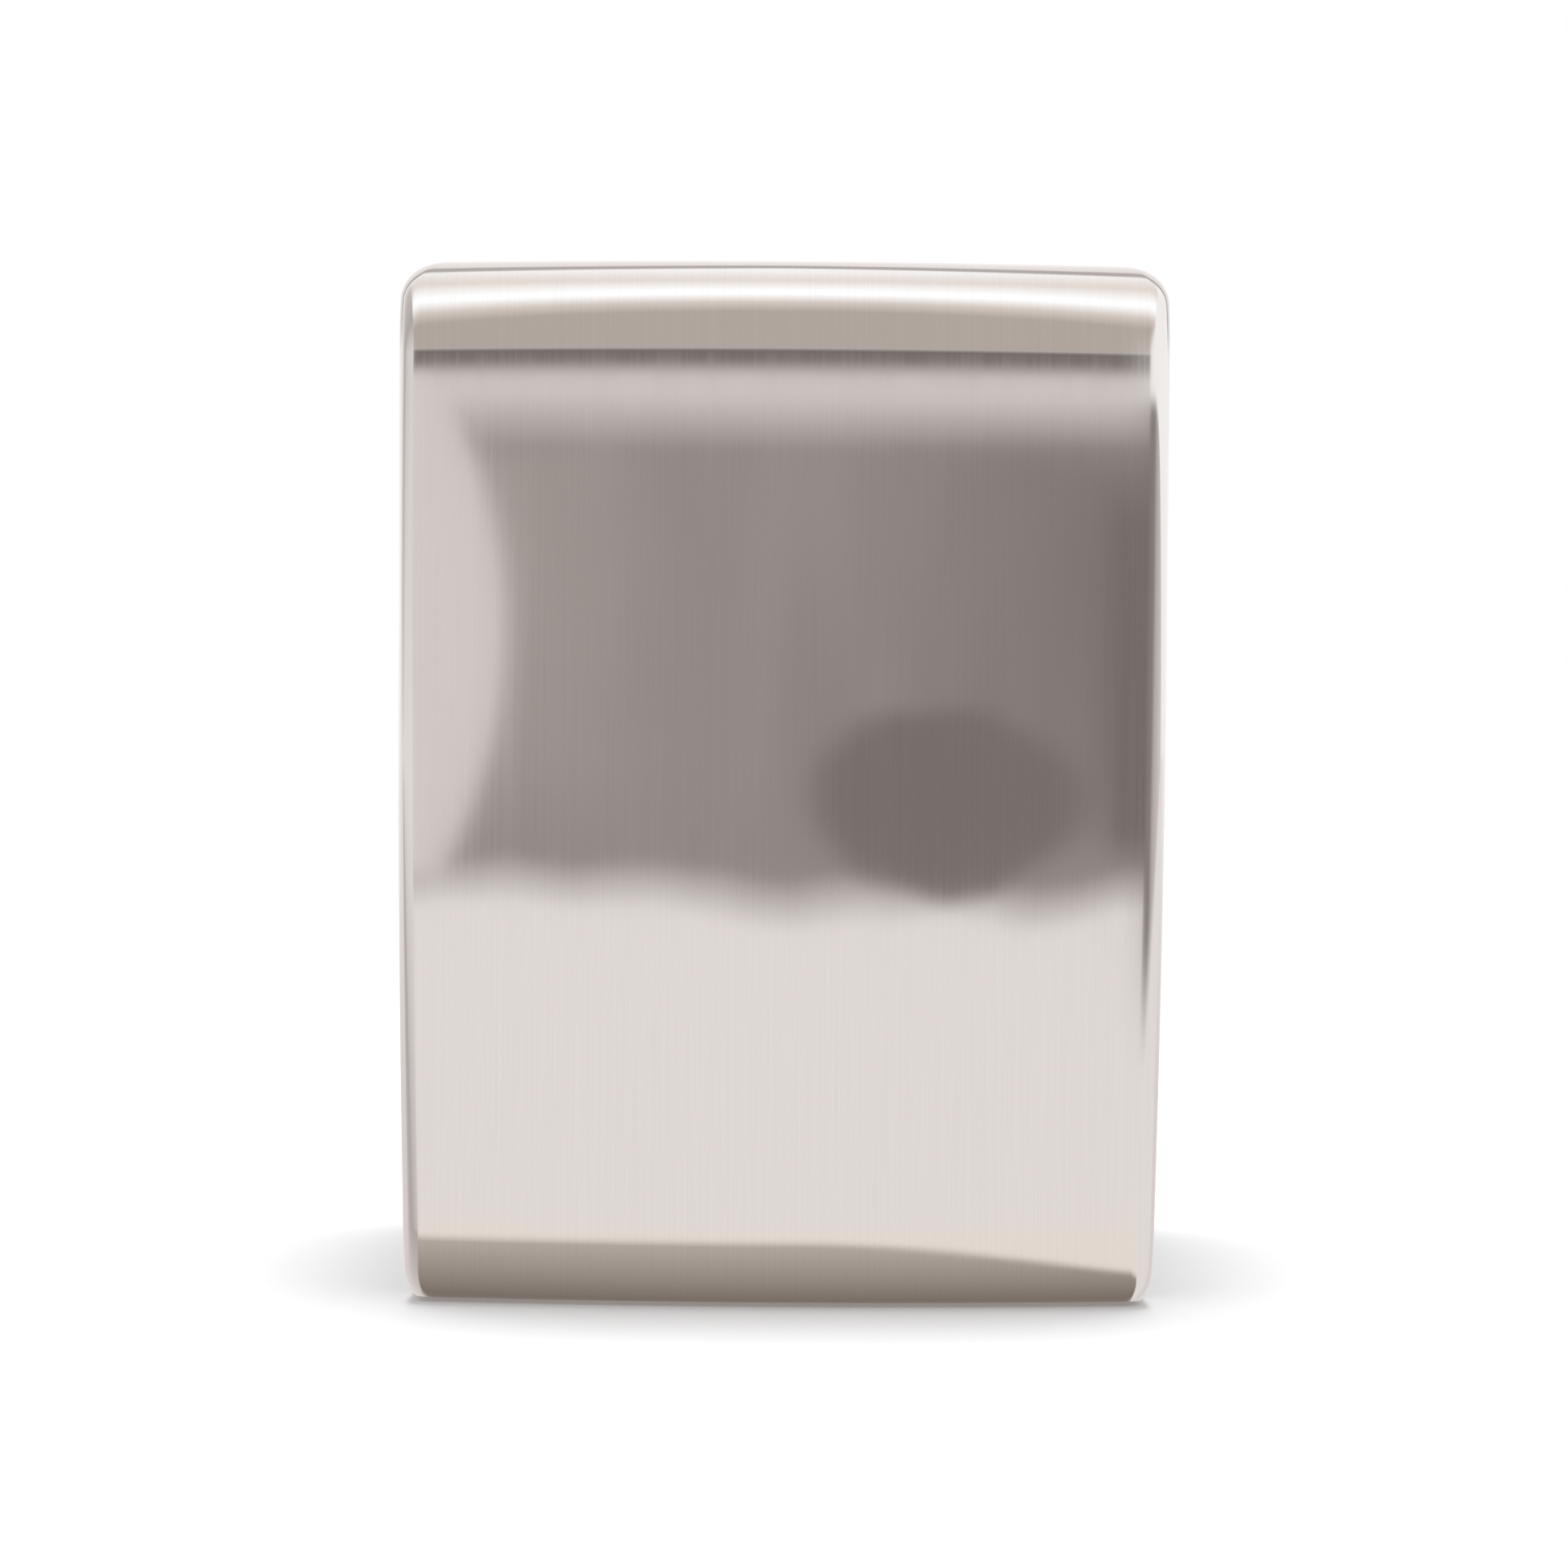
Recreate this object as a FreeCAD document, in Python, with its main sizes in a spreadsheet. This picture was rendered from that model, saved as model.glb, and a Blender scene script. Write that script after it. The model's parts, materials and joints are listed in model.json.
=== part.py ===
"""Freestanding trash compactor with a full-height pull-out drawer.

Frame: +X right, +Y towards the back, +Z up, origin on the floor under the middle of the object.
The whole front is one pressed steel shell with a rolled top. It is the front of a drawer on
telescopic slides, which carries the bucket. Above the bucket a ram hangs from two power screws,
which a motor turns through a gear pair and a roller chain on the drive plate.
"""

import FreeCAD, Part
import math
import os
import re

import Sketcher

V = FreeCAD.Vector

# ---------------------------------------------------------------- driving dimensions, millimetres
SIZES = {
    # drawer front
    "front_width": 457, "front_top": 621, "front_bottom": 3, "front_face": -260, "front_back": -176,
    "front_bow": 20, "front_belly": 4, "roll_radius": 55, "crown_radius": 26, "edge_radius": 12,
    "crown_edge_radius": 8, "tuck_radius": 70, "tuck_height": 45, "front_taper": 6.1,
    "toe_corner_wide": 10, "toe_corner_high": 18, "skin": 1.2, "return_flange": 15,
    "liner_sheet": 2, "liner_foot_half": 212, "liner_half": 219, "liner_foot": 14, "liner_shoulder": 560,
    "liner_top_half": 200, "liner_top": 606, "stiffener_place": 95, "stiffener_half": 22,
    "stiffener_depth": 30, "stiffener_low": 60, "stiffener_high": 540,
    # cabinet
    "cab_front": -165, "cab_back": 252.5, "cab_top": 617, "cab_foot": 12, "cab_foot_half": 219,
    "cab_top_half": 225, "cab_corner": 24, "panel_sheet": 1.5, "frame_sheet": 3, "gap": 0.3,
    "mouth_half": 205.5, "mouth_low": 22, "mouth_high": 345, "seal_wide": 6, "seal_thick": 5.4,
    "base_low": 10, "base_sheet": 2, "base_half": 217.5, "base_front": -163, "base_back": 250,
    "foot_radius": 16, "foot_place": 185, "foot_front": -130, "foot_rear": 220,
    # load frame
    "rail_in": 204, "rail_out": 217, "rail_sheet": 1.5, "sill_top": 84, "column_front": -45,
    "column_back": 35, "deck_low": 548, "deck_sheet": 4, "deck_front": -60, "post_front": 234,
    # drawer
    "tray_half": 190, "tray_sheet": 2, "tray_low": 26, "tray_high": 84, "tray_back": 158,
    "bucket_low": 28, "bucket_high": 330, "bucket_half": 160, "bucket_foot_half": 150,
    "bucket_front": -160, "bucket_back": 150, "bucket_wall": 2.5, "bucket_draft": 10,
    "rim_wide": 5, "rim_high": 8, "bucket_corner": 26, "clip_wide": 16, "clip_place": 90,
    "slide_z": 60, "slide_sheet": 1.2, "slide_long": 396, "slide_half": 18,
    # ram and drive
    "screw_place": 184, "ram_y": -5, "screw_radius": 8, "root_radius": 6.4, "thread_pitch": 6,
    "thread_low": 328, "thread_high": 542, "foot_journal": 6, "head_journal": 7, "running_gap": 0.05,
    "screw_top": 580, "bracket_top": 323, "bracket_sheet": 5, "bracket_in": 170,
    "ram_low": 340, "ram_sheet": 8, "ram_half": 140, "ram_deep": 132, "rib_high": 12, "rib_sheet": 4,
    "ram_neck_half": 70, "ram_neck_deep": 30, "ram_foot_half": 100, "ram_foot_deep": 80,
    "box_sheet": 2.5, "beam_low": 505, "beam_high": 530, "beam_half": 200, "beam_deep": 30,
    "beam_sheet": 3, "nut_radius": 11, "nut_flange": 15.5, "shoe_gap": 0.5,
    "chain_pitch": 9.525, "sprocket_low": 571, "sprocket_sheet": 3, "seat_radius": 3.3,
    "jack_y": 95, "jack_radius": 6, "gear_module": 1.5, "gear_low": 556, "gear_face": 9,
    "gear_backlash": 0.35, "motor_radius": 45, "motor_low": 440, "motor_shaft": 5,
    "fan_radius": 38, "bridge_half": 66, "bridge_top": 585, "bridge_front": 88, "bridge_back": 114,
    # controls on top
    "trough_half": 150, "trough_back": -134, "trough_floor": 588, "trough_wall": 2,
    "panel_half": 130, "panel_front": -125, "panel_rear": -75, "panel_plate": 2, "panel_skirt": 5,
    "panel_inset": 5, "button_radius": 9, "button_gap": 0.3, "button_y": -100, "start_x": -92,
    "stop_x": -58, "lens_x": -10, "lens_step": 14, "lens_radius": 2.6, "lock_x": 88,
    "lock_radius": 10, "board_low": 600, "board_sheet": 1.6, "board_half": 118,
    # latch
    "latch_y": -140, "latch_z": 568, "latch_pin": 2, "keeper_half": 6, "hook_half": 3,
    # odour filter on the back
    "hatch_half": 88, "hatch_low": 128, "hatch_high": 312, "door_thick": 6, "door_edge": 6,
    "door_pin": 1.5, "door_axis_z": 119, "fan_z": 220, "blower_half": 60, "blower_front": 165,
    "blower_deep": 25, "blower_radius": 56, "inlet_x": 150, "inlet_z": 62,
    "strap_half": 100, "strap_z": 590, "strap_hole": 2.75,
}

doc = FreeCAD.newDocument("TrashCompactor")
sheet = doc.addObject("Spreadsheet::Sheet", "Dims")
for row, (alias, size) in enumerate(SIZES.items(), start=1):
    sheet.set(f"A{row}", alias.replace("_", " "))
    sheet.set(f"B{row}", str(size))
    sheet.setAlias(f"B{row}", alias)
doc.recompute()

NODES = []  # the objects that become files, in the order they are made
CABINET_SCREWS = []  # screws of the back panel and the drive plate, which share one node


# ---------------------------------------------------------------- helpers
def formula(text):
    """A formula in the sheet's aliases, as FreeCAD's expression engine reads it."""
    return re.sub(r"[a-z][a-z_]+", lambda m: "Dims." + m[0] if m[0] in SIZES else m[0], str(text))


def size(text):
    """The value of such a formula, for shapes that Part's own functions make."""
    return float(sheet.evalExpression(formula(text)))


def bind(target, prop, text):
    target.setExpression(prop, formula(text))


def publish(piece, label):
    """Makes this object a sub-part under that name."""
    piece.Label = label
    NODES.append(piece)
    return piece


def block(name, x, y, z):
    """A box from pairs of formulas, low and high, along each axis."""
    piece = doc.addObject("Part::Box", name)
    for side, axis, (low, high) in zip(("Length", "Width", "Height"), "xyz", (x, y, z)):
        bind(piece, side, f"({high}) - ({low})")
        bind(piece, f"Placement.Base.{axis}", low)
    return piece


TURNS = {"x": FreeCAD.Rotation(V(0, 1, 0), 90), "y": FreeCAD.Rotation(V(1, 0, 0), -90), "z": FreeCAD.Rotation()}


def rod(name, axis, radius, low, high, centre):
    """A cylinder along an axis. centre holds its other two coordinates, in X, Y, Z order."""
    piece = doc.addObject("Part::Cylinder", name)
    piece.Placement = FreeCAD.Placement(V(0, 0, 0), TURNS[axis])
    bind(piece, "Radius", radius)
    bind(piece, "Height", f"({high}) - ({low})")
    others = [a for a in "xyz" if a != axis]
    bind(piece, f"Placement.Base.{axis}", low)
    bind(piece, f"Placement.Base.{others[0]}", centre[0])
    bind(piece, f"Placement.Base.{others[1]}", centre[1])
    return piece


def frustum(name, low, high, z_low, z_high):
    """A tapered block between two rectangles, each (half width, front y, back y)."""
    piece = doc.addObject("Part::Wedge", name)
    piece.Placement = FreeCAD.Placement(V(0, 0, 0), FreeCAD.Rotation(V(1, 0, 0), 90))
    for prefix, (half, front, back) in (("", low), ("2", high)):
        bind(piece, f"X{prefix}min", f"-({half})")
        bind(piece, f"X{prefix}max", half)
        bind(piece, f"Z{prefix}min", f"-({back})")
        bind(piece, f"Z{prefix}max", f"-({front})")
    bind(piece, "Ymin", z_low)
    bind(piece, "Ymax", z_high)
    return piece


def fused(name, *pieces):
    piece = doc.addObject("Part::MultiFuse", name)
    piece.Shapes = list(pieces)
    return piece


def cut(name, base, *tools):
    piece = doc.addObject("Part::Cut", name)
    piece.Base = base
    piece.Tool = tools[0] if len(tools) == 1 else fused(name + "_tools", *tools)
    return piece


def bundle(name, pieces):
    """Separate solids that share one node."""
    piece = doc.addObject("Part::Compound", name)
    piece.Links = list(pieces)
    return piece


def shaped(name, shape):
    """A piece whose shape Part's own functions make."""
    piece = doc.addObject("Part::Feature", name)
    piece.Shape = shape
    return piece


def edges_where(piece, test):
    """The names of a feature's edges that pass a test of (middle point, direction)."""
    doc.recompute()
    found = []
    for i, edge in enumerate(piece.Shape.Edges, start=1):
        middle = (edge.FirstParameter + edge.LastParameter) / 2
        if test(edge.valueAt(middle), edge.tangentAt(middle)):
            found.append(i)
    return found


def softened(name, piece, radius, test):
    """Part fillet of the edges that pass the test."""
    soft = doc.addObject("Part::Fillet", name)
    soft.Base = piece
    soft.Edges = [(i, size(radius), size(radius)) for i in edges_where(piece, test)]
    return soft


def upright(_point, direction):
    return abs(direction.z) > 0.9


# PartDesign: which way each plane's normal points, and which axis it stacks along
PLANES = {"XY_Plane": 1, "XZ_Plane": -1, "YZ_Plane": 1}


def new_body(name):
    return doc.addObject("PartDesign::Body", name)


def plane_sketch(body, plane, offset):
    sketch = body.newObject("Sketcher::SketchObject", body.Name + "_sketch")
    origin = {f.Role: f for f in body.Origin.OriginFeatures}
    sketch.AttachmentSupport = [(origin[plane], "")]
    sketch.MapMode = "FlatFace"
    bind(sketch, "AttachmentOffset.Base.z", offset)
    return sketch


def outline(sketch, points):
    """A closed polygon whose corners follow pairs of formulas."""
    first = sketch.GeometryCount
    corners = [V(size(u), size(w), 0) for u, w in points]
    count = len(corners)
    for i, corner in enumerate(corners):
        sketch.addGeometry(Part.LineSegment(corner, corners[(i + 1) % count]), False)
    for i in range(count):
        after = first + (i + 1) % count
        sketch.addConstraint(Sketcher.Constraint("Coincident", first + i, 2, after, 1))
    for i, (u, w) in enumerate(points):
        for kind, text in (("DistanceX", u), ("DistanceY", w)):
            rule = sketch.addConstraint(Sketcher.Constraint(kind, -1, 1, first + i, 1, size(text)))
            bind(sketch, f"Constraints[{rule}]", text)


def ring(sketch, centre, radius):
    """A circle at a place given by two formulas."""
    at = V(size(centre[0]), size(centre[1]), 0)
    round_line = sketch.addGeometry(Part.Circle(at, V(0, 0, 1), size(radius)), False)
    rule = sketch.addConstraint(Sketcher.Constraint("Radius", round_line, size(radius)))
    bind(sketch, f"Constraints[{rule}]", radius)
    for kind, text in (("DistanceX", centre[0]), ("DistanceY", centre[1])):
        rule = sketch.addConstraint(Sketcher.Constraint(kind, -1, 1, round_line, 3, size(text)))
        bind(sketch, f"Constraints[{rule}]", text)


def pad(body, plane, draw, low, high):
    """Adds material between two places on the plane's own axis. draw fills the sketch."""
    start = f"-({high})" if plane == "XZ_Plane" else low
    sketch = plane_sketch(body, plane, start)
    draw(sketch)
    feature = body.newObject("PartDesign::Pad", body.Name + "_pad")
    feature.Profile = sketch
    bind(feature, "Length", f"({high}) - ({low})")
    doc.recompute()
    return feature


def pocket(body, plane, draw, low, high):
    """Removes material between two places on the plane's own axis."""
    before = body.Shape.Volume
    start = f"-({low})" if plane == "XZ_Plane" else high
    sketch = plane_sketch(body, plane, start)
    draw(sketch)
    feature = body.newObject("PartDesign::Pocket", body.Name + "_pocket")
    feature.Profile = sketch
    bind(feature, "Length", f"({high}) - ({low})")
    doc.recompute()
    if body.Shape.Volume >= before - 1e-6:
        raise RuntimeError(f"a pocket in {body.Name} removes nothing")
    return feature


def rectangle(u_low, u_high, w_low, w_high):
    """A function that draws a rectangle in a sketch."""
    return lambda sketch: outline(sketch, [(u_low, w_low), (u_high, w_low), (u_high, w_high), (u_low, w_high)])


def rectangles(boxes):
    def draw(sketch):
        for sides in boxes:
            rectangle(*sides)(sketch)
    return draw


def circles(places, radius):
    def draw(sketch):
        for place in places:
            ring(sketch, place, radius)
    return draw


def polygon(points):
    return lambda sketch: outline(sketch, points)


def rounded(body, radius, test):
    """PartDesign fillet of the body's edges that pass the test."""
    base = body.Tip
    names = [f"Edge{i}" for i in edges_where(base, test)]
    feature = body.newObject("PartDesign::Fillet", body.Name + "_fillet")
    feature.Base = (base, names)
    bind(feature, "Radius", radius)
    doc.recompute()
    return feature


def mirrored(points):
    """A half outline, from the bottom up on the right, completed on the left."""
    return points + [(f"-({u})", w) for u, w in reversed(points)]


# ---------------------------------------------------------------- drawer front shell
def front_recess(z, inset):
    """How far the middle of the front stands back from its plane at a height."""
    top = size("front_top") - inset
    roll = size("roll_radius") - inset
    spring_line = size("front_top - roll_radius")
    middle = (spring_line + size("tuck_height")) / 2
    belly_radius = (spring_line - middle) ** 2 / (2 * size("front_belly"))
    back = (z - middle) ** 2 / (2 * belly_radius) if z < spring_line else size("front_belly")
    if z > spring_line:
        back += roll - math.sqrt(max(roll**2 - (min(z, top) - spring_line) ** 2, 0))
    if z < size("tuck_height"):
        tuck = size("tuck_radius") - inset
        back += tuck - math.sqrt(tuck**2 - (size("tuck_height") - z) ** 2)
    return back


def front_half_width(z, inset):
    """The shell's half width at a height: a slight taper, rounded top corners and toe corners."""
    half = size("front_width") / 2 - inset
    spring_line = size("front_top - roll_radius")
    if z < spring_line:
        half -= size("front_taper") * ((spring_line - z) / (spring_line - size("tuck_height"))) ** 2
    crown = size("crown_radius") - inset
    over = z - size("front_top - crown_radius")
    if over > 0:
        half -= crown - math.sqrt(max(crown**2 - min(over, crown) ** 2, 0))
    toe = size("toe_corner_high") - (z - size("front_bottom"))
    if toe > 0:
        half -= size("toe_corner_wide") * (1 - math.sqrt(1 - (toe / (size("toe_corner_high") + 2)) ** 2))
    return half


def front_section(z, inset, back):
    """The shell's horizontal outline at a height: straight sides, rounded edges and a bowed front."""
    half = front_half_width(z, inset)
    face = size("front_face") + inset + front_recess(z, inset)
    rise = max(0.0, min(1.0, (z - size("front_top - roll_radius")) / size("roll_radius")))
    edge = size("edge_radius") - rise**2 * size("edge_radius - crown_edge_radius") - inset
    bow = size("(front_width^2 / 4 + front_bow^2) / (2 * front_bow)") - inset
    bow_centre = V(0, face + bow, z)
    corner_y = face + bow - math.sqrt((bow - edge) ** 2 - (half - edge) ** 2)
    points = {}
    for side in (-1, 1):
        corner = V(side * (half - edge), corner_y, z)
        outward = (corner - bow_centre).normalize()
        middle = (outward + V(side, 0, 0)).normalize()
        points[side] = (V(side * half, corner_y, z), corner + middle * edge, corner + outward * edge)
    left, right = points[-1], points[1]
    start, end = V(-half, back, z), V(half, back, z)
    return Part.Wire([
        Part.LineSegment(start, left[0]).toShape(),
        Part.Arc(left[0], left[1], left[2]).toShape(),
        Part.Arc(left[2], V(0, face, z), right[2]).toShape(),
        Part.Arc(right[2], right[1], right[0]).toShape(),
        Part.LineSegment(right[0], end).toShape(),
        Part.LineSegment(end, start).toShape(),
    ])


def front_block(inset, back, low):
    """The solid inside the shell's outer or inner face."""
    spring_line = size("front_top - roll_radius")
    tuck = size("tuck_height")
    roll = size("roll_radius") - inset
    heights = [low + (tuck - low) * share for share in (0, 0.08, 0.2, 0.36, 0.55, 0.78)]
    heights += [tuck + i * (spring_line - tuck) / 5 for i in range(5)]
    heights += [spring_line + roll * math.sin(math.radians(angle)) for angle in range(0, 91, 9)]
    return Part.makeLoft([front_section(z, inset, back) for z in heights], True, False)


def make_front_shell():
    skin = size("skin")
    back = size("front_back")
    outer = front_block(0, back, size("front_bottom"))
    cavity = front_block(skin, back - skin, size("front_bottom + skin"))
    window = Part.makeBox(
        2 * size("liner_half - return_flange"), 4 * skin, size("liner_top - liner_foot - 2 * return_flange"),
        V(-size("liner_half - return_flange"), back - 3 * skin, size("liner_foot + return_flange")),
    )
    publish(shaped("front_shell", outer.cut(cavity).cut(window)), "drawer_front_shell")


# ---------------------------------------------------------------- drawer
def make_liner():
    body = new_body("liner")
    half = [("liner_foot_half", "liner_foot"), ("liner_half", "liner_shoulder"), ("liner_top_half", "liner_top")]
    pad(body, "XZ_Plane", polygon(mirrored(half)), "front_back", "front_back + liner_sheet")
    rounded(body, "cab_corner / 2", lambda p, d: abs(d.y) > 0.9 and p.z > size("liner_shoulder - 1"))
    publish(body, "drawer_liner")

    hats = []
    for side, name in ((-1, "left"), (1, "right")):
        at = f"({side}) * stiffener_place"
        body = new_body(f"stiffener_{name}")
        pad(body, "XY_Plane", polygon([
            (f"{at} - stiffener_half", "front_back"), (f"{at} - stiffener_half", "front_back - skin"),
            (f"{at} - stiffener_half / 2", "front_back - skin"),
            (f"{at} - stiffener_half / 2", "front_back - stiffener_depth"),
            (f"{at} + stiffener_half / 2", "front_back - stiffener_depth"),
            (f"{at} + stiffener_half / 2", "front_back - skin"),
            (f"{at} + stiffener_half", "front_back - skin"), (f"{at} + stiffener_half", "front_back"),
            (f"{at} + stiffener_half / 2 - skin", "front_back"),
            (f"{at} + stiffener_half / 2 - skin", "front_back - stiffener_depth + skin"),
            (f"{at} - stiffener_half / 2 + skin", "front_back - stiffener_depth + skin"),
            (f"{at} - stiffener_half / 2 + skin", "front_back"),
        ]), "stiffener_low", "stiffener_high")
        hats.append(body)
    publish(bundle("stiffeners", hats), "liner_stiffeners")


def make_tray():
    front = "front_back + liner_sheet"
    walls = [
        block("tray_floor", ("-tray_half", "tray_half"), (front, "tray_back"), ("tray_low", "tray_low + tray_sheet")),
        block("tray_left", ("-tray_half", "-tray_half + tray_sheet"), (front, "tray_back"), ("tray_low", "tray_high")),
        block("tray_right", ("tray_half - tray_sheet", "tray_half"), (front, "tray_back"), ("tray_low", "tray_high")),
        block("tray_rear", ("-tray_half", "tray_half"), ("tray_back - tray_sheet", "tray_back"),
              ("tray_low", "tray_high - 20")),
        block("tray_front", ("-tray_half", "tray_half"), (front, front + " + tray_sheet"), ("tray_low", "tray_high")),
    ]
    publish(fused("tray", *walls), "drawer_tray")
    screws = []
    for i, (x, z) in enumerate([(x, z) for x in (-150, -50, 50, 150) for z in (42, 68)]):
        screws.append(rod(f"tray_screw_{i}", "y", 4, front + " + tray_sheet", front + " + tray_sheet + 2.6", (x, z)))
    publish(bundle("tray_screws", screws), "drawer_screws")


def make_bucket():
    outer = frustum("bucket_outer", ("bucket_foot_half", "bucket_front + bucket_draft", "bucket_back - bucket_draft"),
                    ("bucket_half", "bucket_front", "bucket_back"), "bucket_low", "bucket_high")
    inner = frustum(
        "bucket_inner",
        ("bucket_foot_half - bucket_wall", "bucket_front + bucket_draft + bucket_wall",
         "bucket_back - bucket_draft - bucket_wall"),
        ("bucket_half - bucket_wall", "bucket_front + bucket_wall", "bucket_back - bucket_wall"),
        "bucket_low + bucket_wall", "bucket_high")
    rim = block("bucket_rim", ("-bucket_half - rim_wide", "bucket_half + rim_wide"),
                ("bucket_front - rim_wide", "bucket_back + rim_wide"), ("bucket_high - rim_high", "bucket_high"))
    outer_soft = softened("bucket_outer_soft", outer, "bucket_corner", upright)
    inner_soft = softened("bucket_inner_soft", inner, "bucket_corner - bucket_wall", upright)
    rim_soft = softened("bucket_rim_soft", rim, "bucket_corner + rim_wide", upright)
    solid = fused("bucket_solid", outer_soft, rim_soft)
    publish(cut("bucket", solid, inner_soft), "trash_bucket")

    clips = []
    for i, (x, side) in enumerate([(x, side) for x in (-1, 1) for side in (-1, 1)]):
        across = (f"({x}) * clip_place - clip_wide / 2", f"({x}) * clip_place + clip_wide / 2")
        edge = "bucket_front - rim_wide" if side < 0 else "bucket_back + rim_wide"
        outside = (f"{edge} - 2.5", edge) if side < 0 else (edge, f"{edge} + 2.5")
        lip = (f"{edge} - 2.5", f"{edge} + 9") if side < 0 else (f"{edge} - 9", f"{edge} + 2.5")
        plate = block(f"clip_plate_{i}", across, outside, ("bucket_high - 12", "bucket_high + 2"))
        hook = block(f"clip_lip_{i}", across, lip, ("bucket_high", "bucket_high + 2"))
        clips.append(fused(f"clip_{i}", plate, hook))
    publish(bundle("clips", clips), "bag_clips")


def make_slides():
    """Three nested channels a side: fixed outer, half-travel middle, and inner on the tray."""
    members = {
        # name: (web far from the drawer's middle, lip ends, half height, y of the front end)
        "outer": ("rail_in", "rail_in - 10.4", "slide_half", "cab_front + 1"),
        "middle": ("rail_in - 3.2", "rail_in - 11.4", "slide_half - 2.4", "cab_front"),
        "inner": ("tray_half", "tray_half + 7.6", "slide_half - 5.6", "cab_front - 1"),
    }
    for name, (web, lip, half, front) in members.items():
        inward = -1 if name != "inner" else 1
        channels = []
        for side in (-1, 1):
            far = f"({side}) * ({web})"
            near_web = f"({side}) * ({web} + ({inward}) * slide_sheet)"
            tips = f"({side}) * ({lip})"
            body = new_body(f"slide_{name}_{'left' if side < 0 else 'right'}")
            low, high = f"slide_z - ({half})", f"slide_z + ({half})"
            pad(body, "XZ_Plane", polygon([
                (far, low), (tips, low), (tips, low + " + slide_sheet"), (near_web, low + " + slide_sheet"),
                (near_web, high + " - slide_sheet"), (tips, high + " - slide_sheet"), (tips, high), (far, high),
            ]), front, front + " + slide_long")
            channels.append(body)
        publish(bundle(f"slides_{name}", channels), f"slide_{name}_members")


# ---------------------------------------------------------------- cabinet
def cabinet_outline(inset, foot):
    """Half outline of the cabinet, with the top corners left sharp."""
    return [(f"cab_foot_half - {inset}", foot), (f"cab_top_half - {inset}", f"cab_top - {inset}")]


def top_corner(point, direction):
    return abs(direction.y) > 0.9 and point.z > size("cab_top - 10")


def make_wrap():
    body = new_body("wrap")
    pad(body, "XZ_Plane", polygon(mirrored(cabinet_outline("0", "cab_foot"))), "cab_front", "cab_back")
    rounded(body, "cab_corner", top_corner)
    base = body.Tip
    open_faces = []
    for i, face in enumerate(base.Shape.Faces, start=1):
        normal = face.normalAt(0.5, 0.5)
        if abs(normal.y) > 0.99 or normal.z < -0.99:
            open_faces.append(f"Face{i}")
    hollow = body.newObject("PartDesign::Thickness", "wrap_thickness")
    hollow.Base = (base, open_faces)
    hollow.Reversed = True
    bind(hollow, "Value", "skin")
    doc.recompute()
    pocket(body, "XY_Plane", rectangle("-trough_half", "trough_half", "cab_front - 1", "trough_back"),
           "cab_top - 5", "cab_top + 1")
    pocket(body, "XY_Plane", rectangle("-panel_half + panel_inset", "panel_half - panel_inset",
                                       "panel_front + panel_inset", "panel_rear - panel_inset"),
           "cab_top - 5", "cab_top + 1")
    publish(body, "cabinet_wrap")


def make_front_frame():
    body = new_body("front_frame")
    back = "cab_front"
    pad(body, "XZ_Plane", polygon(mirrored(cabinet_outline("gap", "cab_foot"))), "cab_front - frame_sheet", back)
    rounded(body, "cab_corner", top_corner)
    pocket(body, "XZ_Plane", rectangle("-mouth_half", "mouth_half", "mouth_low", "mouth_high"),
           "cab_front - frame_sheet - 1", "cab_front + 1")
    pocket(body, "XZ_Plane", rectangle("-trough_half - 1", "trough_half + 1", "trough_floor - 1", "cab_top + 1"),
           "cab_front - frame_sheet - 1", "cab_front + 1")
    pocket(body, "XZ_Plane", rectangle("-keeper_half - 2", "keeper_half + 2", "latch_z - 16", "latch_z + 16"),
           "cab_front - frame_sheet - 1", "cab_front + 1")
    publish(body, "front_frame")

    seal_y = ("cab_front - frame_sheet - seal_thick", "cab_front - frame_sheet")
    seal = block("seal_outer", ("-mouth_half - seal_wide", "mouth_half + seal_wide"), seal_y,
                 ("mouth_low - seal_wide", "mouth_high + seal_wide"))
    hole = block("seal_inner", ("-mouth_half", "mouth_half"), ("cab_front - 20", "cab_front"),
                 ("mouth_low", "mouth_high"))
    publish(cut("seal", seal, hole), "drawer_seal")


def make_base():
    floor = block("pan_floor", ("-base_half", "base_half"), ("base_front", "base_back"),
                  ("base_low", "base_low + base_sheet"))
    front = block("pan_front", ("-rail_in + 1", "rail_in - 1"), ("base_front", "base_front + base_sheet"),
                  ("base_low", "base_low + 10"))
    rear = block("pan_rear", ("-rail_in + 1", "rail_in - 1"), ("base_back - base_sheet", "base_back"),
                 ("base_low", "base_low + 30"))
    ribs = [block(f"pan_rib_{i}", (x - 6, x + 6), ("base_front + 20", "base_back - 20"),
                  ("base_low", "base_low + base_sheet + 4")) for i, x in enumerate((-120, 0, 120))]
    publish(fused("pan", floor, front, rear, *ribs), "base_pan")

    feet = []
    for i, (side, y) in enumerate([(s, y) for s in (-1, 1) for y in ("foot_front", "foot_rear")]):
        foot = doc.addObject("Part::Cone", f"foot_cone_{i}")
        bind(foot, "Radius1", "foot_radius - 2")
        bind(foot, "Radius2", "foot_radius")
        bind(foot, "Height", "base_low")
        bind(foot, "Placement.Base.x", f"({side}) * foot_place")
        bind(foot, "Placement.Base.y", y)
        dimple = rod(f"foot_dimple_{i}", "z", 6, "-1", "3", (f"({side}) * foot_place", y))
        feet.append(cut(f"foot_{i}", foot, dimple))
    publish(bundle("feet", feet), "rubber_feet")


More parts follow.
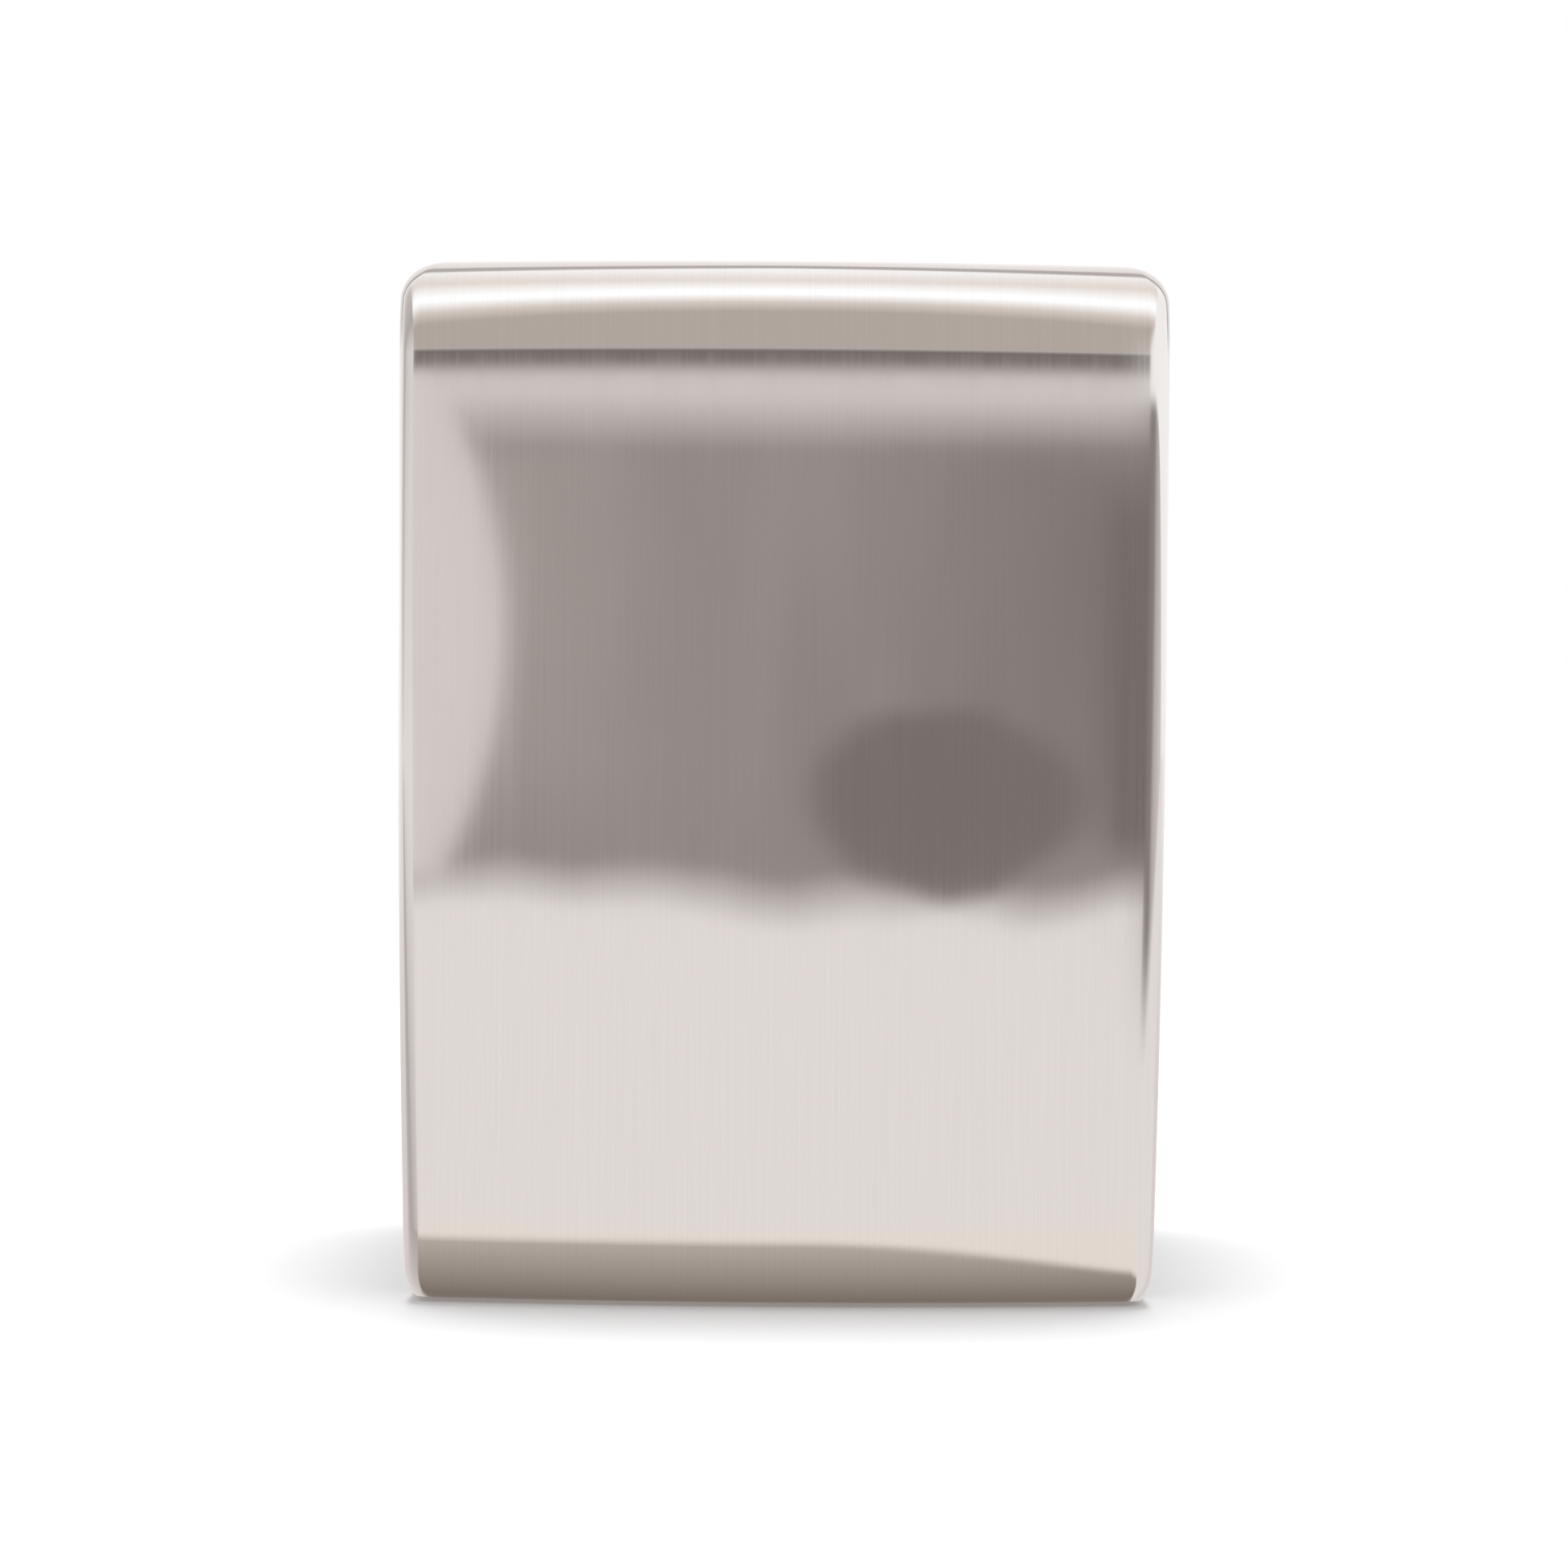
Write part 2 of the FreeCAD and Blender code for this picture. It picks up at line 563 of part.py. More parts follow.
def make_load_frame():
    sills, columns, posts = [], [], []
    for side, name in ((-1, "left"), (1, "right")):
        inner, outer = f"({side}) * rail_in", f"({side}) * rail_out"
        inner_web = f"({side}) * (rail_in + rail_sheet)"
        outer_web = f"({side}) * (rail_out - rail_sheet)"
        foot, top = "base_low + base_sheet", "sill_top"
        sill = new_body(f"sill_{name}")
        pad(sill, "XZ_Plane", polygon([
            (inner, foot), (outer, foot), (outer, foot + " + rail_sheet"), (inner_web, foot + " + rail_sheet"),
            (inner_web, top + " - rail_sheet"), (outer, top + " - rail_sheet"), (outer, top), (inner, top),
        ]), "base_front + base_sheet", "base_back - base_sheet")
        sills.append(sill)
        column = new_body(f"column_{name}")
        front, back = "column_front", "column_back"
        pad(column, "XY_Plane", polygon([
            (inner, front), (outer, front), (outer, back), (inner, back), (inner, back + " - rail_sheet"),
            (outer_web, back + " - rail_sheet"), (outer_web, front + " + rail_sheet"),
            (inner, front + " + rail_sheet"),
        ]), top, "deck_low")
        columns.append(column)
        post = new_body(f"post_{name}")
        front, back = "post_front", "base_back - base_sheet"
        pad(post, "XY_Plane", polygon([
            (inner, back), (outer, back), (outer, front), (outer_web, front),
            (outer_web, back + " - rail_sheet"), (inner, back + " - rail_sheet"),
        ]), top, "deck_low")
        posts.append(post)
    publish(bundle("sills", sills), "side_sills")
    publish(bundle("columns", columns), "ram_columns")
    publish(bundle("posts", posts), "rear_posts")


def make_back():
    body = new_body("back")
    pad(body, "XZ_Plane", polygon(mirrored(cabinet_outline("0.5", "cab_foot"))), "cab_back", "cab_back + panel_sheet")
    rounded(body, "cab_corner", top_corner)
    through = ("cab_back - 1", "cab_back + panel_sheet + 1")
    pocket(body, "XZ_Plane", rectangle("-hatch_half", "hatch_half", "hatch_low", "hatch_high"), *through)
    slots = [(f"{x} - 30", f"{x} + 30", f"{440 + 10 * i}", f"{444 + 10 * i}")
             for x in (-120, 0, 120) for i in range(8)]
    pocket(body, "XZ_Plane", rectangles(slots), *through)
    pocket(body, "XZ_Plane", rectangle("inlet_x - 14", "inlet_x + 14", "inlet_z - 10", "inlet_z + 10"), *through)
    pocket(body, "XZ_Plane", circles([("-strap_half", "strap_z"), ("strap_half", "strap_z")], "strap_hole"), *through)
    ears = []
    for side in (-1, 1):
        x = (f"({side}) * (hatch_half + door_edge + 4) - 3", f"({side}) * (hatch_half + door_edge + 4) + 3")
        y = ("cab_back + panel_sheet", "cab_back + panel_sheet + door_thick")
        ear = block(f"ear_{side + 1}", x, y, ("door_axis_z - 4", "door_axis_z + 4"))
        ears.append(ear)
    pin = rod("door_pin_rod", "x", "door_pin", "-hatch_half - door_edge - 6", "hatch_half + door_edge + 6",
              ("cab_back + panel_sheet + door_thick / 2", "door_axis_z"))
    publish(fused("back_with_hinge", body, *ears, pin), "back_panel")
    heads = []
    places = [(x, 606) for x in (-180, 0, 180)] + [(x, 24) for x in (-190, 0, 190)]
    places += [(x, z) for x in (-211, 211) for z in (160, 320, 480)]
    for i, (x, z) in enumerate(places):
        heads.append(rod(f"back_screw_{i}", "y", 3.6, "cab_back + panel_sheet", "cab_back + panel_sheet + 2.2", (x, z)))
    CABINET_SCREWS.extend(heads)


def make_inlet():
    outside = "cab_back + panel_sheet"
    flange = block("inlet_flange", ("inlet_x - 20", "inlet_x + 20"), (outside, outside + " + 2"),
                   ("inlet_z - 14", "inlet_z + 14"))
    shell = block("inlet_shell", ("inlet_x - 13.8", "inlet_x + 13.8"), (outside + " - 24", outside),
                  ("inlet_z - 9.8", "inlet_z + 9.8"))
    hole = block("inlet_hole", ("inlet_x - 12", "inlet_x + 12"), (outside + " - 18", outside + " + 3"),
                 ("inlet_z - 8", "inlet_z + 8"))
    hollow = cut("inlet_hollow", fused("inlet_solid", flange, shell), hole)
    pins = [block(f"inlet_pin_{i}", (f"inlet_x + {x - 1}", f"inlet_x + {x + 1}"), (outside + " - 20", outside + " - 3"),
                  (f"inlet_z + {z - 2}", f"inlet_z + {z + 2}")) for i, (x, z) in enumerate([(-7, 0), (0, 2), (7, 0)])]
    publish(fused("inlet", hollow, *pins), "power_inlet")


# ---------------------------------------------------------------- odour filter
def make_filter():
    outside = "cab_back + panel_sheet"
    axis_y = f"{outside} + door_thick / 2"
    low = "hatch_low - door_edge"
    plate = block("door_plate", ("-hatch_half - door_edge", "hatch_half + door_edge"),
                  (outside + " + gap", outside + " + door_thick"), (low, "hatch_high + door_edge"))
    barrel = rod("door_barrel", "x", "door_thick / 2 - gap", "-hatch_half - door_edge", "hatch_half + door_edge",
                 (axis_y, "door_axis_z"))
    web = block("door_web", ("-hatch_half - door_edge", "hatch_half + door_edge"),
                (f"{axis_y} - 1", f"{axis_y} + door_thick / 2"), ("door_axis_z", f"{low} + 1"))
    bore = rod("door_bore", "x", "door_pin + running_gap", "-hatch_half - door_edge - 1", "hatch_half + door_edge + 1",
               (axis_y, "door_axis_z"))
    slots = [block(f"door_slot_{i}", (-70, 70), (outside + " - 1", outside + " + door_thick + 1"),
                   (142 + 13 * i, 148 + 13 * i)) for i in range(11)]
    grip = block("door_grip", (-18, 18), (outside + " + 3", outside + " + door_thick + 1"),
                 ("hatch_high - 14", "hatch_high - 4"))
    publish(cut("door", fused("door_solid", plate, barrel, web), bore, grip, *slots), "filter_door")

    housing = block("housing_outer", ("-hatch_half - 4", "hatch_half + 4"), ("blower_front + blower_deep", "cab_back"),
                    ("hatch_low - 4", "hatch_high + 4"))
    room = block("housing_inner", ("-hatch_half", "hatch_half"), ("blower_front + blower_deep + 2", "cab_back + 1"),
                 ("hatch_low", "hatch_high"))
    mouth = rod("housing_mouth", "y", "blower_radius", "blower_front", "cab_back", ("0", "fan_z"))
    publish(cut("housing", housing, room, mouth), "filter_housing")

    frame = block("cassette_outer", ("-hatch_half + 1", "hatch_half - 1"), ("cab_back - 24", "cab_back"),
                  ("hatch_low + 1", "hatch_high - 1"))
    hole = block("cassette_inner", ("-hatch_half + 5", "hatch_half - 5"), ("cab_back - 30", "cab_back + 5"),
                 ("hatch_low + 5", "hatch_high - 5"))
    publish(cut("cassette", frame, hole), "filter_cassette")
    core = block("core_block", ("-hatch_half + 5", "hatch_half - 5"), ("cab_back - 22", "cab_back - 2"),
                 ("hatch_low + 5", "hatch_high - 5"))
    publish(core, "carbon_core")

    case = block("blower_case", ("-blower_half", "blower_half"), ("blower_front", "blower_front + blower_deep"),
                 ("fan_z - blower_half", "fan_z + blower_half"))
    duct = rod("blower_duct", "y", "blower_radius", "blower_front - 1", "blower_front + blower_deep + 1", ("0", "fan_z"))
    disc = rod("blower_disc", "y", 19, "blower_front + blower_deep - 3", "blower_front + blower_deep", ("0", "fan_z"))
    across = block("blower_strut_x", ("-blower_radius - 1", "blower_radius + 1"),
                   ("blower_front + blower_deep - 3", "blower_front + blower_deep"), ("fan_z - 3", "fan_z + 3"))
    down = block("blower_strut_z", (-3, 3), ("blower_front + blower_deep - 3", "blower_front + blower_deep"),
                 ("fan_z - blower_radius - 1", "fan_z + blower_radius + 1"))
    spindle = rod("blower_spindle", "y", 2, "blower_front + 6", "blower_front + blower_deep", ("0", "fan_z"))
    publish(fused("blower", cut("blower_open", case, duct), disc, across, down, spindle), "odour_fan_frame")

    hub = Part.makeCylinder(18, size("blower_deep") - 7, V(0, size("blower_front") + 3, size("fan_z")), V(0, 1, 0))
    rotor = hub
    blade_span = size("blower_radius") - 4
    for i in range(7):
        blade = Part.makeBox(3, size("blower_deep") - 11, blade_span - 14, V(-1.5, size("blower_front") + 5, 14))
        blade.rotate(V(0, size("blower_front + blower_deep / 2"), 0), V(0, 0, 1), 35)
        blade = blade.common(Part.makeBox(60, size("blower_deep") - 9, 80, V(-30, size("blower_front") + 4, 0)))
        blade.rotate(V(0, 0, 0), V(0, 1, 0), 360 / 7 * i)
        blade.translate(V(0, 0, size("fan_z")))
        rotor = rotor.fuse(blade)
    tip_ring = Part.makeCylinder(blade_span, 40, V(0, size("blower_front") - 5, size("fan_z")), V(0, 1, 0))
    bore = Part.makeCylinder(2 + size("running_gap"), 40, V(0, size("blower_front") - 5, size("fan_z")), V(0, 1, 0))
    publish(shaped("rotor", rotor.common(tip_ring).cut(bore)), "odour_fan_rotor")


# ---------------------------------------------------------------- ram
def make_ram():
    front, back = "ram_y - ram_deep", "ram_y + ram_deep"
    plate = block("plate_block", ("-ram_half", "ram_half"), (front, back), ("ram_low", "ram_low + ram_sheet"))
    plate_soft = softened("plate_soft", plate, "bucket_corner", upright)
    top = ("ram_low + ram_sheet", "ram_low + ram_sheet + rib_high")
    ribs = []
    for i, x in enumerate((-110, 110)):
        ribs.append(block(f"rib_y_{i}", (f"{x} - rib_sheet / 2", f"{x} + rib_sheet / 2"), (f"{front} + 12", f"{back} - 12"), top))
    for i, y in enumerate((-95, 95)):
        ribs.append(block(f"rib_x_{i}", ("-ram_half + 12", "ram_half - 12"),
                          (f"ram_y + {y} - rib_sheet / 2", f"ram_y + {y} + rib_sheet / 2"), top))
    publish(fused("plate", plate_soft, *ribs), "ram_plate")

    foot, neck = "ram_low + ram_sheet", "beam_low"
    outer = frustum("box_outer", ("ram_foot_half", "ram_y - ram_foot_deep", "ram_y + ram_foot_deep"),
                    ("ram_neck_half", "ram_y - ram_neck_deep", "ram_y + ram_neck_deep"), foot, neck)
    inner = frustum(
        "box_inner",
        ("ram_foot_half - box_sheet", "ram_y - ram_foot_deep + box_sheet", "ram_y + ram_foot_deep - box_sheet"),
        ("ram_neck_half - box_sheet", "ram_y - ram_neck_deep + box_sheet", "ram_y + ram_neck_deep - box_sheet"),
        foot, neck)
    outer_soft = softened("box_outer_soft", outer, "8", upright)
    inner_soft = softened("box_inner_soft", inner, "8 - box_sheet", upright)
    holes = [rod("box_hole_y", "y", 24, "ram_y - 100", "ram_y + 100", ("0", "420")),
             rod("box_hole_x", "x", 16, "-120", "120", ("ram_y", "420"))]
    publish(cut("box", outer_soft, inner_soft, *holes), "ram_box")

    beam = block("beam_outer", ("-beam_half", "beam_half"), ("ram_y - beam_deep", "ram_y + beam_deep"),
                 ("beam_low", "beam_high"))
    room = block("beam_inner", ("-beam_half - 1", "beam_half + 1"),
                 ("ram_y - beam_deep + beam_sheet", "ram_y + beam_deep - beam_sheet"),
                 ("beam_low + beam_sheet", "beam_high - beam_sheet"))
    seats = [rod(f"beam_seat_{i}", "z", "nut_radius", "beam_low - 1", "beam_high + 1", (f"({s}) * screw_place", "ram_y"))
             for i, s in enumerate((-1, 1))]
    publish(cut("beam", beam, room, *seats), "ram_crosshead")

    nuts, shoes = [], []
    for i, s in enumerate((-1, 1)):
        at = (f"({s}) * screw_place", "ram_y")
        flange = rod(f"nut_flange_{i}", "z", "nut_flange", "beam_low - 4", "beam_low", at)
        barrel = rod(f"nut_barrel_{i}", "z", "nut_radius", "beam_low - 4", "beam_high + 3", at)
        bore = rod(f"nut_bore_{i}", "z", "screw_radius + gap", "beam_low - 10", "beam_high + 10", at)
        nuts.append(cut(f"nut_{i}", fused(f"nut_solid_{i}", flange, barrel), bore))
        near, far = f"({s}) * beam_half", f"({s}) * (rail_out - rail_sheet - shoe_gap)"
        x = (near, far) if s > 0 else (far, near)
        shoes.append(block(f"shoe_{i}", x, ("column_front + rail_sheet + shoe_gap", "column_back - rail_sheet - shoe_gap"),
                           ("beam_low - 3", "beam_high + 3")))
    publish(bundle("nuts", nuts), "power_nuts")
    publish(bundle("shoes", shoes), "guide_shoes")


# ---------------------------------------------------------------- drive
def revolved(points, centre):
    """A turned solid from (radius, height) points, closed along its axis."""
    ring_points = [V(centre.x + r, centre.y, z) for r, z in points]
    face = Part.Face(Part.makePolygon(ring_points + [ring_points[0]]))
    return face.revolve(V(centre.x, centre.y, 0), V(0, 0, 1), 360)


def make_screws():
    major, root, pitch = size("screw_radius"), size("root_radius"), size("thread_pitch")
    low, high = size("thread_low"), size("thread_high")
    turns = int((high - low) // pitch)
    foot, head, seat = size("foot_journal"), size("head_journal"), size("jack_radius")
    points = [(0, size("bracket_top - bracket_sheet") - 4), (foot, size("bracket_top - bracket_sheet") - 4), (foot, low)]
    for i in range(turns):
        z = low + i * pitch
        points += [(root, z), (major, z + pitch * 0.25), (major, z + pitch * 0.5), (root, z + pitch * 0.75)]
    points += [(root, low + turns * pitch), (head, low + turns * pitch), (head, size("gear_low"))]
    points += [(seat, size("gear_low")), (seat, size("screw_top")), (0, size("screw_top"))]
    for side, name in ((-1, "left"), (1, "right")):
        publish(shaped(f"screw_{name}", revolved(points, V(side * size("screw_place"), size("ram_y"), 0))),
                f"power_screw_{name}")

    brackets, bushes = [], []
    for i, s in enumerate((-1, 1)):
        at = (f"({s}) * screw_place", "ram_y")
        near, far = f"({s}) * bracket_in", f"({s}) * rail_in"
        x = (near, far) if s > 0 else (far, near)
        lip = (f"({s}) * (rail_in - 4)", far) if s > 0 else (far, f"({s}) * (rail_in - 4)")
        shelf = block(f"shelf_{i}", x, ("column_front", "column_back"), ("bracket_top - bracket_sheet", "bracket_top"))
        flange = block(f"shelf_flange_{i}", lip, ("column_front", "column_back"), ("bracket_top - 40", "bracket_top"))
        hole = rod(f"shelf_hole_{i}", "z", "foot_journal + 2", "bracket_top - 60", "bracket_top + 5", at)
        brackets.append(cut(f"bracket_{i}", fused(f"bracket_solid_{i}", shelf, flange), hole))
        low_flange = rod(f"low_flange_{i}", "z", "foot_journal + 5", "bracket_top", "bracket_top + 3", at)
        low_barrel = rod(f"low_barrel_{i}", "z", "foot_journal + 2", "bracket_top - bracket_sheet - 2", "bracket_top", at)
        low_bore = rod(f"low_bore_{i}", "z", "foot_journal + running_gap", "bracket_top - 20", "bracket_top + 20", at)
        bushes.append(cut(f"low_bush_{i}", fused(f"low_bush_solid_{i}", low_flange, low_barrel), low_bore))
        top_flange = rod(f"top_flange_{i}", "z", "head_journal + 5", "deck_low - 3", "deck_low", at)
        top_barrel = rod(f"top_barrel_{i}", "z", "head_journal + 2", "deck_low", "deck_low + deck_sheet + 1", at)
        top_bore = rod(f"top_bore_{i}", "z", "head_journal + running_gap", "deck_low - 20", "deck_low + 20", at)
        bushes.append(cut(f"top_bush_{i}", fused(f"top_bush_solid_{i}", top_flange, top_barrel), top_bore))
    publish(bundle("brackets", brackets), "screw_foot_brackets")
    publish(bundle("bushes", bushes), "screw_bushes")


def pitch_radius(teeth):
    return size("chain_pitch") / (2 * math.sin(math.pi / teeth))


def make_sprocket(label, teeth, x, y, hub_radius, hub_low):
    """A chain sprocket: a disc with roller seats, on a hub."""
    middle = pitch_radius(teeth)
    body = new_body("wheel_" + label)
    body.Placement = FreeCAD.Placement(V(size(x), size(y), 0), FreeCAD.Rotation())
    pad(body, "XY_Plane", circles([("0", "0")], f"{middle:.4f} + seat_radius - 0.6"), "sprocket_low",
        "sprocket_low + sprocket_sheet")
    seat = pocket(body, "XY_Plane", circles([(f"{middle:.4f}", "0")], "seat_radius"), "sprocket_low - 1",
                  "sprocket_low + sprocket_sheet + 1")
    pattern = body.newObject("PartDesign::PolarPattern", body.Name + "_teeth")
    pattern.Originals = [seat]
    pattern.Axis = ({f.Role: f for f in body.Origin.OriginFeatures}["Z_Axis"], [""])
    pattern.Occurrences = teeth
    pattern.Angle = 360
    body.Tip = pattern
    doc.recompute()
    pad(body, "XY_Plane", circles([("0", "0")], hub_radius), hub_low, "sprocket_low")
    pocket(body, "XY_Plane", circles([("0", "0")], "jack_radius"), hub_low + " - 1", "sprocket_low + sprocket_sheet + 1")
    publish(body, label)


def chain_loop(offset, z, thick):
    """A band round the three sprockets' pitch circles, widened by an offset, as a solid."""
    wheels = [(V(-size("screw_place"), size("ram_y"), z), pitch_radius(18)),
              (V(size("screw_place"), size("ram_y"), z), pitch_radius(18)),
              (V(0, size("jack_y"), z), pitch_radius(9))]
    arcs = []
    tangents = []
    for i in range(3):
        (a, ra), (b, rb) = wheels[i], wheels[(i + 1) % 3]
        ra, rb = ra + offset, rb + offset
        along = b - a
        base = math.atan2(along.y, along.x)
        lean = math.asin((ra - rb) / along.Length)
        out = base - math.pi / 2 + lean
        normal = V(math.cos(out), math.sin(out), 0)
        tangents.append((a + normal * ra, b + normal * rb, out))
    edges = []
    for i in range(3):
        start, end, out = tangents[i]
        edges.append(Part.LineSegment(start, end).toShape())
        centre, radius = wheels[(i + 1) % 3]
        following = tangents[(i + 1) % 3]
        turn = (following[2] - out) % (2 * math.pi)
        middle = centre + V(math.cos(out + turn / 2), math.sin(out + turn / 2), 0) * (radius + offset)
        edges.append(Part.Arc(end, middle, following[0]).toShape())
    return Part.Face(Part.Wire(edges)).extrude(V(0, 0, thick)), tangents


def make_chain():
    """Two rows of link plates, above and below the teeth, and the pins of the straight runs."""
    z_low = size("sprocket_low") - 2.2
    z_high = size("sprocket_low + sprocket_sheet") + 1.0
    thick = 1.2
    rows = []
    for z in (z_low, z_high):
        outer, _ = chain_loop(3.6, z, thick)
        inner, _ = chain_loop(-3.6, z, thick)
        rows.append(outer.cut(inner))
    chain = rows[0].fuse(rows[1])
    _, tangents = chain_loop(0, z_low, thick)
    for start, end, _ in tangents:
        run = end - start
        count = int(run.Length // size("chain_pitch"))
        for i in range(3, count - 2):
            at = start + run * (i / count)
            chain = chain.fuse(Part.makeCylinder(2.2, z_high - z_low, at))
    publish(shaped("chain", chain), "drive_chain")


def toothed(teeth, low, high, centre, bore, turn):
    """A spur gear with straight-flanked teeth, thinned for backlash."""
    module = size("gear_module")
    middle = module * teeth / 2
    slack = size("gear_backlash") / middle
    step = 2 * math.pi / teeth
    points = []
    for i in range(teeth):
        at = turn + i * step
        for radius, half in ((middle - 1.25 * module, 0.36), (middle, 0.25), (middle + 0.9 * module, 0.11)):
            points.append((radius, at - half * step + slack / 2))
        for radius, half in ((middle + 0.9 * module, 0.11), (middle, 0.25), (middle - 1.25 * module, 0.36)):
            points.append((radius, at + half * step - slack / 2))
    corners = [V(centre.x + r * math.cos(a), centre.y + r * math.sin(a), low) for r, a in points]
    gear = Part.Face(Part.makePolygon(corners + [corners[0]])).extrude(V(0, 0, high - low))
    return gear.cut(Part.makeCylinder(bore, high - low + 2, V(centre.x, centre.y, low - 1))) if bore else gear


def make_drive():
    jack = V(0, size("jack_y"), 0)
    motor = V(0, size("jack_y") + size("gear_module") * 36, 0)
    low, high = size("gear_low"), size("gear_low + gear_face")
    gear = toothed(60, low, high, jack, size("jack_radius"), math.pi / 2)
    windows = [Part.makeCylinder(9, 30, V(0, 27, low - 5)) for _ in range(6)]
    for i, window in enumerate(windows):
        window.rotate(V(0, 0, 0), V(0, 0, 1), 60 * i + 30)
        window.translate(jack)
        gear = gear.cut(window)
    publish(shaped("big_gear", gear), "reduction_gear")
    publish(rod("jack_rod", "z", "jack_radius", "deck_low - 4", "bridge_top + 2", ("0", "jack_y")), "jackshaft")
    make_sprocket("jackshaft_sprocket", 9, "0", "jack_y", 9, "gear_low + gear_face")

    shaft = Part.makeCylinder(size("motor_shaft"), size("gear_low + gear_face + 3 - motor_low + 14"),
                              V(motor.x, motor.y, size("motor_low") - 14))
    pinion = toothed(12, low - 1, high + 1, motor, 0, -math.pi / 2 + math.pi / 12)
    publish(shaped("pinion_shaft", shaft.fuse(pinion)), "motor_pinion_shaft")

    centre = ("0", f"{motor.y}")
    can = rod("can", "z", "motor_radius", "motor_low", "deck_low - 12", centre)
    bell = rod("bell", "z", "motor_radius + 3", "deck_low - 14", "deck_low", centre)
    band = rod("band", "z", "motor_radius + 1.5", "motor_low + 8", "motor_low + 18", centre)
    bore = rod("motor_bore", "z", "motor_shaft + running_gap", "motor_low - 1", "deck_low + 1", centre)
    slots = []
    for i in range(4):
        slot = block(f"vent_{i}", (-60, 60), (f"{motor.y} - 4", f"{motor.y} + 4"), ("deck_low - 11", "deck_low - 4"))
        slot.Placement.Rotation = FreeCAD.Rotation()
        slots.append(slot)
    core = rod("vent_core", "z", "motor_radius - 4", "deck_low - 12", "deck_low - 3", centre)
    vents = cut("vents", slots[0], core)
    publish(cut("motor", fused("motor_solid", can, bell, band), bore, vents), "motor_housing")

    hub = Part.makeCylinder(10, 8, V(motor.x, motor.y, size("motor_low") - 12))
    fan = hub
    for i in range(8):
        blade = Part.makeBox(size("fan_radius") - 8, 2, 8, V(8, -1, 0))
        blade.rotate(V(0, 0, 4), V(1, 0, 0), 28)
        blade.rotate(V(0, 0, 0), V(0, 0, 1), 45 * i)
        blade.translate(V(motor.x, motor.y, size("motor_low") - 12))
        fan = fan.fuse(blade)
    bore = Part.makeCylinder(size("motor_shaft"), 40, V(motor.x, motor.y, size("motor_low") - 30))
    publish(shaped("fan", fan.cut(bore)), "motor_fan")

    for side, name in ((-1, "left"), (1, "right")):
        make_sprocket(f"screw_sprocket_{name}", 18, f"({side}) * screw_place", "ram_y", 13, "gear_low")
    make_chain()

    cap = rod("cap_can", "z", 17, "deck_low - 66", "deck_low", ("92", "190"))
    strap = rod("cap_strap", "z", 18.5, "deck_low - 30", "deck_low - 20", ("92", "190"))
    publish(fused("cap", cap, strap), "motor_capacitor")


def make_deck():
    body = new_body("deck")
    top = "deck_low + deck_sheet"
    motor_y = "jack_y + gear_module * 36"
    pad(body, "XY_Plane", rectangle("-rail_out", "rail_out", "deck_front", "base_back - base_sheet"), "deck_low", top)
    pad(body, "XZ_Plane", rectangle("-beam_half", "beam_half", "deck_low - 18", "deck_low"),
        "deck_front", "deck_front + 3")
    through = ("deck_low - 1", top + " + 1")
    pocket(body, "XY_Plane", circles([("-screw_place", "ram_y"), ("screw_place", "ram_y")], "head_journal + 2"), *through)
    pocket(body, "XY_Plane", circles([("0", "jack_y")], "jack_radius + running_gap"), *through)
    pocket(body, "XY_Plane", circles([("0", motor_y)], 13), *through)
    windows = [(f"{s} - 28", f"{s} + 28", "30", "84") for s in (-110, 110)]
    pocket(body, "XY_Plane", rectangles(windows), *through)
    publish(body, "drive_plate")

    legs = [block(f"leg_{i}", (f"{s} * bridge_half - 1.5", f"{s} * bridge_half + 1.5"), ("bridge_front", "bridge_back"),
                  (top, "bridge_top")) for i, s in enumerate((-1, 1))]
    feet = [block(f"bridge_foot_{i}", (f"{s} * (bridge_half + 6) - 7.5", f"{s} * (bridge_half + 6) + 7.5"),
                  ("bridge_front", "bridge_back"), (top, top + " + 3")) for i, s in enumerate((-1, 1))]
    cap = block("bridge_cap", ("-bridge_half - 1.5", "bridge_half + 1.5"), ("bridge_front", "bridge_back"),
                ("bridge_top - 3", "bridge_top"))
    boss = rod("bridge_boss", "z", 11, "bridge_top - 6", "bridge_top", ("0", "jack_y"))
    bore = rod("bridge_bore", "z", "jack_radius + running_gap", "bridge_top - 20", "bridge_top + 5", ("0", "jack_y"))
    publish(cut("bridge", fused("bridge_solid", cap, boss, *legs, *feet), bore), "gear_bridge")

    heads = []
    for i, (x, y) in enumerate([(x, y) for x in (-32, 32) for y in (-22, 32)]):
        heads.append(rod(f"motor_head_{i}", "z", 4.2, top, top + " + 3.2", (x, f"{motor_y} + {y}")))
    for i, (x, y) in enumerate([(x, y) for x in (-208, 208) for y in (-35, 25, 238)]):
        heads.append(rod(f"deck_head_{i}", "z", 5, top, top + " + 4", (x, y)))
    publish(bundle("cabinet_screws", CABINET_SCREWS + heads), "cabinet_screws")


